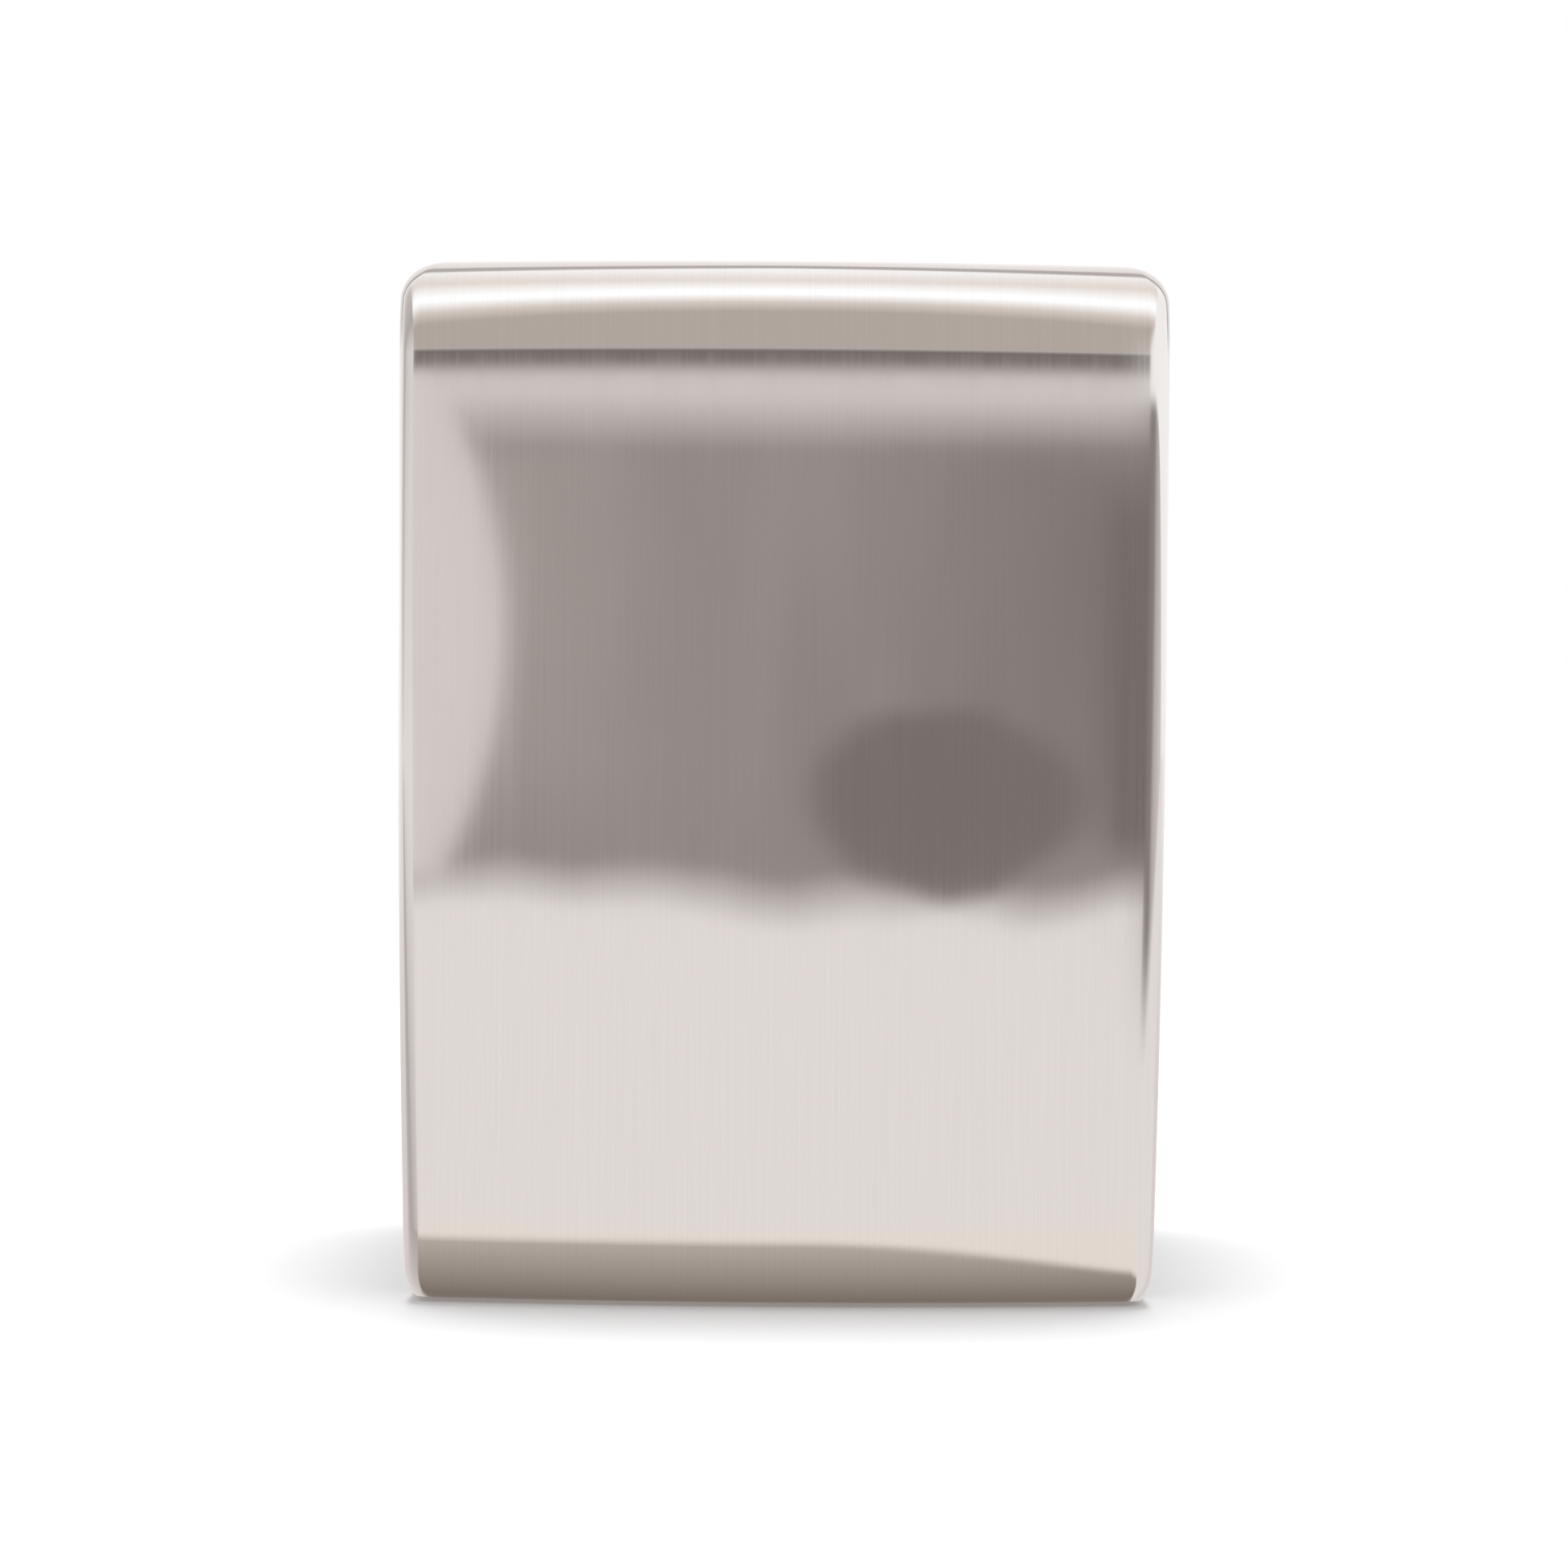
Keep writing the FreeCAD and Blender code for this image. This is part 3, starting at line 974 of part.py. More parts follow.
# ---------------------------------------------------------------- latch and sensors
def make_latch():
    arm_front, arm_back = "latch_y - 26", "latch_y + 8"
    body = new_body("hook")
    pad(body, "YZ_Plane", polygon([
        (arm_front, "latch_z + 3"), ("latch_y - 23.5", "latch_z + 3"), ("latch_y - 23.5", "latch_z + 9"),
        ("latch_y - 8", "latch_z + 7"), ("latch_y - 4", "latch_z - 4"), ("latch_y + 4", "latch_z - 4"),
        (arm_back, "latch_z + 6"), (arm_back, "latch_z + 12"), (arm_front, "latch_z + 13"),
    ]), "-hook_half", "hook_half")
    pocket(body, "YZ_Plane", circles([("latch_y", "latch_z")], "latch_pin + running_gap"), "-hook_half - 1", "hook_half + 1")
    publish(body, "latch_hook")

    cheeks = []
    for side in (-1, 1):
        x = (f"({side}) * (hook_half + 2) - 1", f"({side}) * (hook_half + 2) + 1")
        cheeks.append(block(f"cheek_{side + 1}", x, ("latch_y - 10", "latch_y + 10"), ("latch_z - 17", "latch_z + 10")))
        foot_x = (f"({side}) * (hook_half + 8) - 7", f"({side}) * (hook_half + 8) + 7")
        cheeks.append(block(f"cheek_foot_{side + 1}", foot_x, ("cab_front", "cab_front + 2"), ("latch_z - 30", "latch_z - 18")))
        cheeks.append(block(f"cheek_arm_{side + 1}", x, ("cab_front", "latch_y + 10"), ("latch_z - 30", "latch_z - 17")))
    pin = rod("latch_pin_rod", "x", "latch_pin", "-hook_half - 3", "hook_half + 3", ("latch_y", "latch_z"))
    coil = block("latch_coil", (-14, 14), ("latch_y + 12", "latch_y + 44"), ("latch_z - 26", "latch_z + 2"))
    link = block("latch_link", (-6, 6), ("latch_y + 6", "latch_y + 13"), ("latch_z - 26", "latch_z - 12"))
    publish(fused("latch_base", *cheeks, pin, coil, link), "latch_bracket")

    back = "front_back + liner_sheet"
    sides = [block(f"keeper_side_{side + 1}", (f"({side}) * (keeper_half - 0.75) - 0.75", f"({side}) * (keeper_half - 0.75) + 0.75"),
                   (back, "latch_y - 18"), ("latch_z - 13", "latch_z + 1")) for side in (-1, 1)]
    plate = block("keeper_plate", ("-keeper_half", "keeper_half"), (back, back + " + 1.5"), ("latch_z - 13", "latch_z + 1"))
    bar = rod("keeper_bar", "x", 2, "-keeper_half + 1", "keeper_half - 1", ("latch_y - 20", "latch_z - 2"))
    publish(fused("keeper", *sides, plate, bar), "latch_keeper")

    sensors = []
    for i, z in enumerate(("beam_low - 160", "beam_low")):
        sensors.append(block(f"sensor_{i}", ("rail_in", "rail_in + 11"), ("column_back", "column_back + 8"),
                             (z, f"{z} + 24")))
    publish(bundle("sensors", sensors), "position_sensors")


# ---------------------------------------------------------------- controls
def make_controls():
    under, over = "cab_top - panel_skirt", "cab_top + panel_plate"
    plate = block("panel_top", ("-panel_half", "panel_half"), ("panel_front", "panel_rear"), ("cab_top", over))
    plate_soft = softened("panel_top_soft", plate, "8", upright)
    skirt = block("panel_body", ("-panel_half + panel_inset + gap", "panel_half - panel_inset - gap"),
                  ("panel_front + panel_inset + gap", "panel_rear - panel_inset - gap"), (under, "cab_top"))
    holes = [rod(f"button_hole_{x}", "z", "button_radius + button_gap", "cab_top - 20", "cab_top + 20", (x, "button_y"))
             for x in ("start_x", "stop_x")]
    holes.append(rod("lock_hole", "z", "lock_radius + button_gap", "cab_top - 20", "cab_top + 20", ("lock_x", "button_y")))
    lamps = [f"lens_x + {i} * lens_step" for i in range(3)]
    holes += [rod(f"lamp_hole_{i}", "z", "lens_radius", "cab_top - 20", "cab_top + 20", (x, "button_y"))
              for i, x in enumerate(lamps)]
    publish(cut("panel", fused("panel_solid", plate_soft, skirt), *holes), "control_panel")
    lenses = [rod(f"lens_{i}", "z", "lens_radius", under, f"{over} + 0.4", (x, "button_y")) for i, x in enumerate(lamps)]
    publish(bundle("lenses", lenses), "indicator_lenses")

    for label, x in (("start_button", "start_x"), ("stop_button", "stop_x")):
        cap = rod(label + "_cap", "z", "button_radius", "board_low + 8", "cab_top + panel_plate + 1.8", (x, "button_y"))
        rim = edges_where(cap, lambda p, d: p.z > size("cab_top + panel_plate") and abs(d.z) < 0.1)
        soft = doc.addObject("Part::Fillet", label + "_soft")
        soft.Base = cap
        soft.Edges = [(i, 1.2, 1.2) for i in rim]
        collar = rod(label + "_collar", "z", "button_radius + 1.8", under + " - 1.6", under, (x, "button_y"))
        publish(fused(label + "_solid", soft, collar), label)

    barrel = rod("lock_barrel", "z", "lock_radius", "board_low + 6", "cab_top + panel_plate + 1.6", ("lock_x", "button_y"))
    keyway = block("lock_keyway", ("lock_x - 1.2", "lock_x + 1.2"), ("button_y - 5.5", "button_y + 5.5"),
                   ("cab_top - 8", "cab_top + 10"))
    publish(cut("lock", barrel, keyway), "key_lock_barrel")

    board = block("board_plate", ("-board_half", "board_half"), ("panel_front + 8", "panel_rear - 8"),
                  ("board_low", "board_low + board_sheet"))
    top = "board_low + board_sheet"
    parts = [block(f"tact_{x}", (f"{x} - 4", f"{x} + 4"), ("button_y - 4", "button_y + 4"), (top, "board_low + 5"))
             for x in ("start_x", "stop_x")]
    parts.append(block("relay", (44, 68), ("button_y - 8", "button_y + 8"), (top, "board_low + 11")))
    parts.append(block("plug", (-34, -16), ("button_y + 2", "button_y + 12"), (top, "board_low + 10")))
    parts.append(block("lock_switch", ("lock_x - 9", "lock_x + 9"), ("button_y - 9", "button_y + 9"), (top, "board_low + 5.5")))
    publish(fused("board", board, *parts), "control_board")
    posts = [rod(f"board_post_{i}", "z", 3, top, under, (x, y))
             for i, (x, y) in enumerate([(x, y) for x in (-112, 112) for y in (-113, -87)])]
    publish(bundle("board_posts", posts), "board_standoffs")

    trough = block("trough_outer", ("-trough_half", "trough_half"), ("cab_front", "trough_back"),
                   ("trough_floor - trough_wall", "cab_top - skin"))
    room = block("trough_inner", ("-trough_half + trough_wall", "trough_half - trough_wall"),
                 ("cab_front - 5", "trough_back - trough_wall"), ("trough_floor", "cab_top + 5"))
    lip = block("trough_lip", ("-trough_half - 8", "trough_half + 8"), ("trough_back - trough_wall", "trough_back + 8"),
                ("cab_top", "cab_top + 1.4"))
    neck = block("trough_neck", ("-trough_half", "trough_half"), ("trough_back - trough_wall", "trough_back"),
                 ("cab_top - 5", "cab_top + 1.4"))
    publish(fused("trough", cut("trough_hollow", trough, room), lip, neck), "grip_trough")


# ---------------------------------------------------------------- build, test and export
def build():
    make_front_shell()
    make_liner()
    make_tray()
    make_bucket()
    make_slides()
    make_wrap()
    make_front_frame()
    make_base()
    make_load_frame()
    make_back()
    make_inlet()
    make_filter()
    make_ram()
    make_screws()
    make_drive()
    make_deck()
    make_latch()
    make_controls()
    doc.recompute()


def test_document():
    """Stops the build if an object failed or a sub-part has no sound solid."""
    for piece in doc.Objects:
        if "Invalid" in piece.State or "Error" in piece.State:
            raise RuntimeError(f"{piece.Label} failed: {piece.State}")
    for piece in NODES:
        if piece.Shape.isNull() or not piece.Shape.isValid() or not piece.Shape.Solids:
            raise RuntimeError(f"sub-part {piece.Label} has no valid solid")


def export():
    os.makedirs("parts", exist_ok=True)
    for piece in NODES:
        piece.Shape.exportStep(f"parts/{piece.Label}.step")
    print(len(NODES), "sub-parts")


build()
test_document()
export()
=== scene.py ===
"""Trash compactor: materials, detailed pieces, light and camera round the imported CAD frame."""

import json
import math

import bmesh
import bpy
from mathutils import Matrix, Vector


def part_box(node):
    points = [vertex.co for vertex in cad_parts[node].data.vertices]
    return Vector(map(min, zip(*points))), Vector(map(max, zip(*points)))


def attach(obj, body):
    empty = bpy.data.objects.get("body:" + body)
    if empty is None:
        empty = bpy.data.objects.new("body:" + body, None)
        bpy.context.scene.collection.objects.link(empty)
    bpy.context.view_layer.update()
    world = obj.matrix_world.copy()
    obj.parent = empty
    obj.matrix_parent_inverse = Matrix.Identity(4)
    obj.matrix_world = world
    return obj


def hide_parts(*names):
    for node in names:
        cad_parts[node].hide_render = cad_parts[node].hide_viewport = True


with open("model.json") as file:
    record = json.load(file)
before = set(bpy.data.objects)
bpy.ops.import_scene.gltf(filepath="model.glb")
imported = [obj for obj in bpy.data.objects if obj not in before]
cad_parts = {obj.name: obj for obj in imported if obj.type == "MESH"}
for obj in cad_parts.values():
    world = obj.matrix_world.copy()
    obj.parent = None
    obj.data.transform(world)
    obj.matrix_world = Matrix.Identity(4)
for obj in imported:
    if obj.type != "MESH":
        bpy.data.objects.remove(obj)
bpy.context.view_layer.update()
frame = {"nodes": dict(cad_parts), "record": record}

NODES = frame["nodes"]
MM = 0.001  # shapes are described in millimetres; materials, light and camera in metres


# ------------------------------------------------------------------ node graphs
class Graph:
    """Short names for building a shader node tree."""

    def __init__(self, tree):
        self.tree = tree
        tree.nodes.clear()

    def node(self, kind, inputs=None, **settings):
        made = self.tree.nodes.new("ShaderNode" + kind)
        for name, value in settings.items():
            setattr(made, name, value)
        for key, value in (inputs or {}).items():
            self.feed(made.inputs[key], value)
        return made

    def feed(self, socket, value):
        if isinstance(value, bpy.types.NodeSocket):
            self.tree.links.new(value, socket)
        elif value is not None:
            if isinstance(value, tuple) and len(value) == 3 and len(socket.default_value) == 4:
                value = (*value, 1.0)
            socket.default_value = value

    def math(self, operation, a, b=None, c=None):
        made = self.node("Math", operation=operation)
        for socket, value in zip(made.inputs, (a, b, c)):
            self.feed(socket, value)
        return made.outputs[0]

    def step(self, value, low, high):
        """Smooth rise from 0 at low to 1 at high. low may be above high."""
        falls = low > high
        inputs = {"Value": value, "From Min": min(low, high), "From Max": max(low, high),
                  "To Min": float(falls), "To Max": float(not falls)}
        return self.node("MapRange", inputs, interpolation_type="SMOOTHSTEP").outputs[0]

    def mix(self, factor, a, b, blend="MIX"):
        made = self.node("Mix", data_type="RGBA", blend_type=blend)
        self.feed(made.inputs["Factor"], factor)
        self.feed(made.inputs[6], a)
        self.feed(made.inputs[7], b)
        return made.outputs[2]

    def ramp(self, value, stops, low=0.0, high=1.0):
        """A colour ramp whose stops lie between low and high."""
        spread = self.node("MapRange", {"Value": value, "From Min": low, "From Max": high}).outputs[0]
        made = self.node("ValToRGB", {"Fac": spread})
        elements = made.color_ramp.elements
        for i, (spot, colour) in enumerate(sorted(stops)):
            at = (spot - low) / (high - low)
            stop = elements[i] if i < 2 else elements.new(at)
            stop.position = at
            stop.color = (*colour, 1)
        return made.outputs[0]

    def noise(self, vector, scale, detail=2.0, rough=0.5, stretch=(1, 1, 1), offset=(0, 0, 0)):
        placed = self.node("Mapping", {"Vector": vector, "Scale": stretch, "Location": offset}).outputs[0]
        return self.node("TexNoise", {"Vector": placed, "Scale": scale, "Detail": detail,
                                      "Roughness": rough}).outputs[0]


def linear(*tone):
    """Linear colour of three display channels from 0 to 255."""
    return tuple((t / 255 / 12.92) if t < 10.3 else ((t / 255 + 0.055) / 1.055) ** 2.4 for t in tone)


# ------------------------------------------------------------------ materials
def material(name, build):
    made = bpy.data.materials.new(name)
    made.use_nodes = True
    graph = Graph(made.node_tree)
    shader = graph.node("BsdfPrincipled")
    graph.node("OutputMaterial", {"Surface": shader.outputs[0]})
    build(graph, shader)
    return made


def bump(graph, shader, height, depth, strength=1.0):
    made = graph.node("Bump", {"Height": height, "Distance": depth, "Strength": strength})
    graph.feed(shader.inputs["Normal"], made.outputs[0])


def place(graph):
    return graph.node("TexCoord").outputs["Object"]


def edge_wear(graph, radius=0.0015):
    """1 on sharp outer edges, 0 elsewhere."""
    soft = graph.node("Bevel", {"Radius": radius}, samples=4).outputs[0]
    hard = graph.node("NewGeometry").outputs["Normal"]
    dot = graph.node("VectorMath", operation="DOT_PRODUCT")
    graph.feed(dot.inputs[0], soft)
    graph.feed(dot.inputs[1], hard)
    return graph.step(dot.outputs["Value"], 0.985, 0.90)


STEEL_DARK = (0.633, 0.611, 0.588)
STEEL_LIGHT = (0.660, 0.638, 0.614)


def brushed_front(graph, shader):
    """Stainless steel with a vertical grain: sharp along the grain, blurred across it."""
    grid = graph.node("UVMap", uv_map="grain").outputs[0]
    hair = graph.noise(grid, 1.0, 3.0, 0.7, (2100, 11, 1))
    strand = graph.noise(grid, 1.0, 2.0, 0.6, (520, 4.5, 1), (3, 7, 0))
    sweep = graph.noise(grid, 1.0, 2.0, 0.5, (60, 1.6, 1), (11, 2, 0))
    grain = graph.math("MULTIPLY_ADD", hair, 0.62, graph.math("MULTIPLY", strand, 0.38))
    graph.feed(shader.inputs["Base Color"], graph.mix(graph.step(grain, 0.30, 0.70), STEEL_DARK, STEEL_LIGHT))
    shader.inputs["Metallic"].default_value = 1.0
    shader.inputs["Anisotropic"].default_value = 0.96
    wide = graph.step(graph.math("MULTIPLY_ADD", sweep, 0.5, graph.math("MULTIPLY", strand, 0.5)), 0.36, 0.66)
    graph.feed(shader.inputs["Roughness"], graph.math("MULTIPLY_ADD", wide, 0.018, 0.046))
    tangent = graph.node("Tangent", direction_type="UV_MAP", uv_map="grain")
    graph.feed(shader.inputs["Tangent"], tangent.outputs[0])
    bump(graph, shader, grain, 0.0000022)


def plated_steel(graph, shader):
    """Zinc-plated sheet with a faint spangle and a little rolling grain."""
    at = place(graph)
    spangle = graph.node("TexVoronoi", {"Vector": at, "Scale": 120.0}, feature="F1").outputs["Color"]
    level = graph.node("SeparateColor", {"Color": spangle}).outputs[0]
    cloud = graph.noise(at, 14.0, 4.0)
    tone = graph.math("MULTIPLY_ADD", level, 0.35, graph.math("MULTIPLY", cloud, 0.65))
    graph.feed(shader.inputs["Base Color"], graph.mix(tone, (0.42, 0.43, 0.44), (0.66, 0.67, 0.68)))
    shader.inputs["Metallic"].default_value = 1.0
    graph.feed(shader.inputs["Roughness"], graph.math("MULTIPLY_ADD", level, 0.16, 0.30))
    bump(graph, shader, cloud, 0.0002, 0.3)


def powder_coat(base, light, rough, grain=0.00006):
    """Sprayed paint with orange peel, worn a little lighter on its edges."""
    def build(graph, shader):
        at = place(graph)
        peel = graph.noise(at, 900.0, 2.0)
        cloud = graph.noise(at, 9.0, 5.0, 0.6)
        body = graph.mix(graph.step(cloud, 0.3, 0.75), base, light)
        rub = graph.math("MULTIPLY", edge_wear(graph), graph.step(graph.noise(at, 60.0, 4.0), 0.45, 0.7))
        worn = tuple(min(1.0, c * 2.2 + 0.04) for c in light)
        graph.feed(shader.inputs["Base Color"], graph.mix(graph.math("MULTIPLY", rub, 0.55), body, worn))
        graph.feed(shader.inputs["Roughness"], graph.math("MULTIPLY_ADD", cloud, 0.12, rough))
        bump(graph, shader, peel, grain, 0.5)
    return build


def moulded(base, light, rough=0.42, grain=0.00005, scale=1400.0):
    """Moulded plastic with a fine spark-eroded texture."""
    def build(graph, shader):
        at = place(graph)
        cells = graph.node("TexVoronoi", {"Vector": at, "Scale": scale}, feature="SMOOTH_F1")
        pebble = cells.outputs["Distance"]
        cloud = graph.noise(at, 12.0, 4.0, 0.55)
        graph.feed(shader.inputs["Base Color"], graph.mix(graph.step(cloud, 0.3, 0.7), base, light))
        graph.feed(shader.inputs["Roughness"], graph.math("MULTIPLY_ADD", cloud, 0.14, rough - 0.05))
        bump(graph, shader, pebble, grain, 0.5)
    return build


def bin_plastic(graph, shader):
    """Rubbed polyethylene: mould texture, cloudy tone and fine scuffs up and down."""
    at = place(graph)
    scuff = graph.noise(at, 1.0, 3.0, 0.6, (260, 260, 14))
    cloud = graph.noise(at, 7.0, 5.0)
    body = graph.mix(graph.step(cloud, 0.3, 0.72), (0.135, 0.142, 0.150), (0.190, 0.198, 0.206))
    scuffed = graph.mix(graph.step(scuff, 0.66, 0.82), body, (0.30, 0.31, 0.32))
    graph.feed(shader.inputs["Base Color"], scuffed)
    graph.feed(shader.inputs["Roughness"], graph.math("MULTIPLY_ADD", scuff, 0.3, 0.36))
    bump(graph, shader, graph.noise(at, 700.0, 2.0), 0.0001, 0.4)


def rubber(graph, shader):
    """Black rubber with dust in its grain."""
    at = place(graph)
    dust = graph.noise(at, 40.0, 5.0, 0.65)
    dusty = graph.mix(graph.step(dust, 0.45, 0.8), (0.014, 0.014, 0.015), (0.05, 0.05, 0.05))
    graph.feed(shader.inputs["Base Color"], dusty)
    graph.feed(shader.inputs["Roughness"], graph.math("MULTIPLY_ADD", dust, 0.2, 0.6))
    bump(graph, shader, graph.noise(at, 1200.0, 2.0), 0.00008, 0.5)


def turned(base, light, rough=0.24, scale=2600.0):
    """Machined metal with fine rings along its length."""
    def build(graph, shader):
        at = place(graph)
        rings = graph.noise(at, 1.0, 2.0, 0.6, (40, 40, scale))
        stain = graph.noise(at, 45.0, 4.0)
        graph.feed(shader.inputs["Base Color"], graph.mix(graph.step(stain, 0.3, 0.75), base, light))
        shader.inputs["Metallic"].default_value = 1.0
        graph.feed(shader.inputs["Roughness"], graph.math("MULTIPLY_ADD", rings, 0.18, rough - 0.08))
        bump(graph, shader, rings, 0.00002, 0.6)
    return build


def gloss(base, light, rough=0.12, coat=0.4):
    """Glossy plastic with faint swirls in its polish."""
    def build(graph, shader):
        at = place(graph)
        swirl = graph.noise(at, 90.0, 5.0, 0.7)
        graph.feed(shader.inputs["Base Color"], graph.mix(graph.step(swirl, 0.3, 0.75), base, light))
        graph.feed(shader.inputs["Roughness"], graph.math("MULTIPLY_ADD", swirl, 0.12, rough - 0.04))
        shader.inputs["Coat Weight"].default_value = coat
        shader.inputs["Coat Roughness"].default_value = 0.06
        bump(graph, shader, swirl, 0.00002, 0.3)
    return build


def lens(graph, shader):
    """Clear red plastic, cloudy inside."""
    at = place(graph)
    depth = graph.noise(at, 300.0, 3.0)
    graph.feed(shader.inputs["Base Color"], graph.mix(depth, (0.40, 0.020, 0.012), (0.75, 0.06, 0.03)))
    shader.inputs["Transmission Weight"].default_value = 0.35
    shader.inputs["Coat Weight"].default_value = 0.8
    graph.feed(shader.inputs["Roughness"], graph.math("MULTIPLY_ADD", depth, 0.1, 0.08))
    bump(graph, shader, depth, 0.00003, 0.3)


def carbon(graph, shader):
    """Granular carbon behind a honeycomb face."""
    at = place(graph)
    cells = graph.node("TexVoronoi", {"Vector": at, "Scale": 190.0}, feature="DISTANCE_TO_EDGE")
    wall = graph.step(cells.outputs["Distance"], 0.10, 0.04)
    grit = graph.noise(at, 900.0, 3.0)
    dark = graph.mix(grit, (0.008, 0.008, 0.009), (0.040, 0.040, 0.042))
    graph.feed(shader.inputs["Base Color"], graph.mix(wall, dark, (0.11, 0.11, 0.11)))
    shader.inputs["Roughness"].default_value = 0.8
    bump(graph, shader, graph.math("MULTIPLY_ADD", grit, 0.4, wall), 0.0012, 0.8)


def circuit(graph, shader):
    """Green board with tinned pads."""
    at = place(graph)
    pads = graph.node("TexVoronoi", {"Vector": at, "Scale": 260.0}, feature="F1").outputs["Distance"]
    tracks = graph.noise(at, 1.0, 2.0, 0.5, (60, 600, 60))
    body = graph.mix(graph.step(tracks, 0.48, 0.56), (0.012, 0.075, 0.030), (0.022, 0.130, 0.052))
    graph.feed(shader.inputs["Base Color"], graph.mix(graph.step(pads, 0.16, 0.12), body, (0.55, 0.55, 0.50)))
    shader.inputs["Roughness"].default_value = 0.3
    bump(graph, shader, tracks, 0.00005, 0.4)


FINISHES = {
    "stainless_front": brushed_front,
    "zinc_steel": plated_steel,
    "cabinet_paint": powder_coat((0.060, 0.062, 0.067), (0.078, 0.080, 0.086), 0.34),
    "dark_plastic": moulded((0.022, 0.023, 0.025), (0.036, 0.037, 0.040)),
    "fastener_steel": turned((0.40, 0.40, 0.40), (0.58, 0.57, 0.55), 0.30, 900.0),
    "bucket_plastic": bin_plastic,
    "clip_plastic": moulded((0.62, 0.62, 0.60), (0.74, 0.74, 0.72), 0.38),
    "seal_rubber": rubber,
    "foot_rubber": rubber,
    "cassette_plastic": moulded((0.40, 0.41, 0.42), (0.50, 0.51, 0.52)),
    "carbon": carbon,
    "ram_steel": powder_coat((0.20, 0.21, 0.22), (0.27, 0.28, 0.29), 0.40, 0.0001),
    "nut_brass": turned((0.58, 0.42, 0.18), (0.76, 0.60, 0.30), 0.26),
    "nylon": moulded((0.74, 0.72, 0.66), (0.84, 0.83, 0.78), 0.36, 0.00003),
    "bright_steel": turned((0.46, 0.46, 0.46), (0.62, 0.62, 0.62)),
    "chain_steel": turned((0.13, 0.12, 0.11), (0.30, 0.28, 0.26), 0.34, 300.0),
    "motor_paint": powder_coat((0.045, 0.046, 0.050), (0.070, 0.071, 0.076), 0.42),
    "capacitor_can": turned((0.60, 0.61, 0.62), (0.74, 0.75, 0.76), 0.28, 500.0),
    "panel_gloss": gloss((0.012, 0.012, 0.014), (0.020, 0.020, 0.023)),
    "lens": lens,
    "button_green": gloss((0.030, 0.190, 0.060), (0.050, 0.260, 0.090)),
    "button_red": gloss((0.360, 0.016, 0.012), (0.480, 0.028, 0.020)),
    "lock_chrome": turned((0.66, 0.66, 0.67), (0.80, 0.80, 0.81), 0.14, 1500.0),
    "board_green": circuit,
}
MATERIALS = {name: material(name, build) for name, build in FINISHES.items()}

for part in frame["record"]["subparts"]:
    mesh = NODES[part["node"]].data
    mesh.materials.clear()
    mesh.materials.append(MATERIALS[part["material_slot"]])


# ------------------------------------------------------------------ mesh helpers
def piece(name, points, faces, body, finish, replaced=(), sharp=35, uvs=None):
    """A new object from points in metres and faces, riding on a body."""
    mesh = bpy.data.meshes.new(name)
    mesh.from_pydata([tuple(p) for p in points], [], faces)
    mesh.materials.append(MATERIALS[finish])
    if uvs is not None:
        layer = mesh.uv_layers.new(name="grain")
        for loop in mesh.loops:
            layer.data[loop.index].uv = uvs[loop.vertex_index]
    made = bpy.data.objects.new(name, mesh)
    bpy.context.scene.collection.objects.link(made)
    shaper = bmesh.new()
    shaper.from_mesh(mesh)
    unused = [corner for corner in shaper.verts if not corner.link_faces]
    bmesh.ops.delete(shaper, geom=unused, context="VERTS")
    bmesh.ops.recalc_face_normals(shaper, faces=shaper.faces)
    shaper.to_mesh(mesh)
    shaper.free()
    mesh.polygons.foreach_set("use_smooth", [True] * len(mesh.polygons))
    mesh.set_sharp_from_angle(angle=math.radians(sharp))
    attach(made, body)
    if replaced:
        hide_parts(*replaced)


# ------------------------------------------------------------------ drawer front
FRONT = {
    "width": 457, "top": 621, "bottom": 3, "face": -260, "back": -176, "bow": 20, "belly": 4, "roll": 55,
    "crown": 26, "edge": 12, "crown_edge": 8, "tuck": 70, "tuck_height": 45, "taper": 6.1,
    "toe_wide": 10, "toe_high": 18, "toe_ease": 2, "skin": 1.2,
}
ROLL_DROP = 5  # the visual roll starts this much lower than the CAD's
SPRING_LINE = FRONT["top"] - FRONT["roll"] - ROLL_DROP
EASE_LENGTH = 3  # over which the belly's slope dies out above the spring line
WINDOW_HALF, WINDOW_LOW, WINDOW_HIGH = 204, 29, 591  # the opening in the shell's back
WINDOW_MARGIN = 2
WINDOW_STEPS = 12
TUCK_RINGS, LOWER_RINGS, FACE_RINGS, ROLL_RINGS, CROWN_RINGS = 16, 12, 64, 16, 40
TUCK_CROWDING = 1.5  # crowds the rings towards the bottom edge
NEAR = 0.01  # a gap too small to see


def front_recess(z, inset):
    """How far the middle of the front lies behind its foremost line: belly, roll and tuck."""
    roll = FRONT["roll"] - inset
    middle = (FRONT["top"] - FRONT["roll"] + FRONT["tuck_height"]) / 2
    belly_radius = (SPRING_LINE + ROLL_DROP - middle) ** 2 / (2 * FRONT["belly"])
    back = (min(z, SPRING_LINE) - middle) ** 2 / (2 * belly_radius)
    if z > SPRING_LINE:
        climb = min((z - SPRING_LINE) / (FRONT["top"] - inset - SPRING_LINE), 1)
        back += roll * (1 - math.sqrt(1 - climb**2))
        slope = (SPRING_LINE - middle) / belly_radius  # eased out, so the roll starts along the belly
        back += slope * (z - SPRING_LINE) * math.exp((SPRING_LINE - z) / EASE_LENGTH)
    if z < FRONT["tuck_height"]:
        tuck = FRONT["tuck"] - inset
        back += tuck - math.sqrt(tuck**2 - (FRONT["tuck_height"] - z) ** 2)
    return back


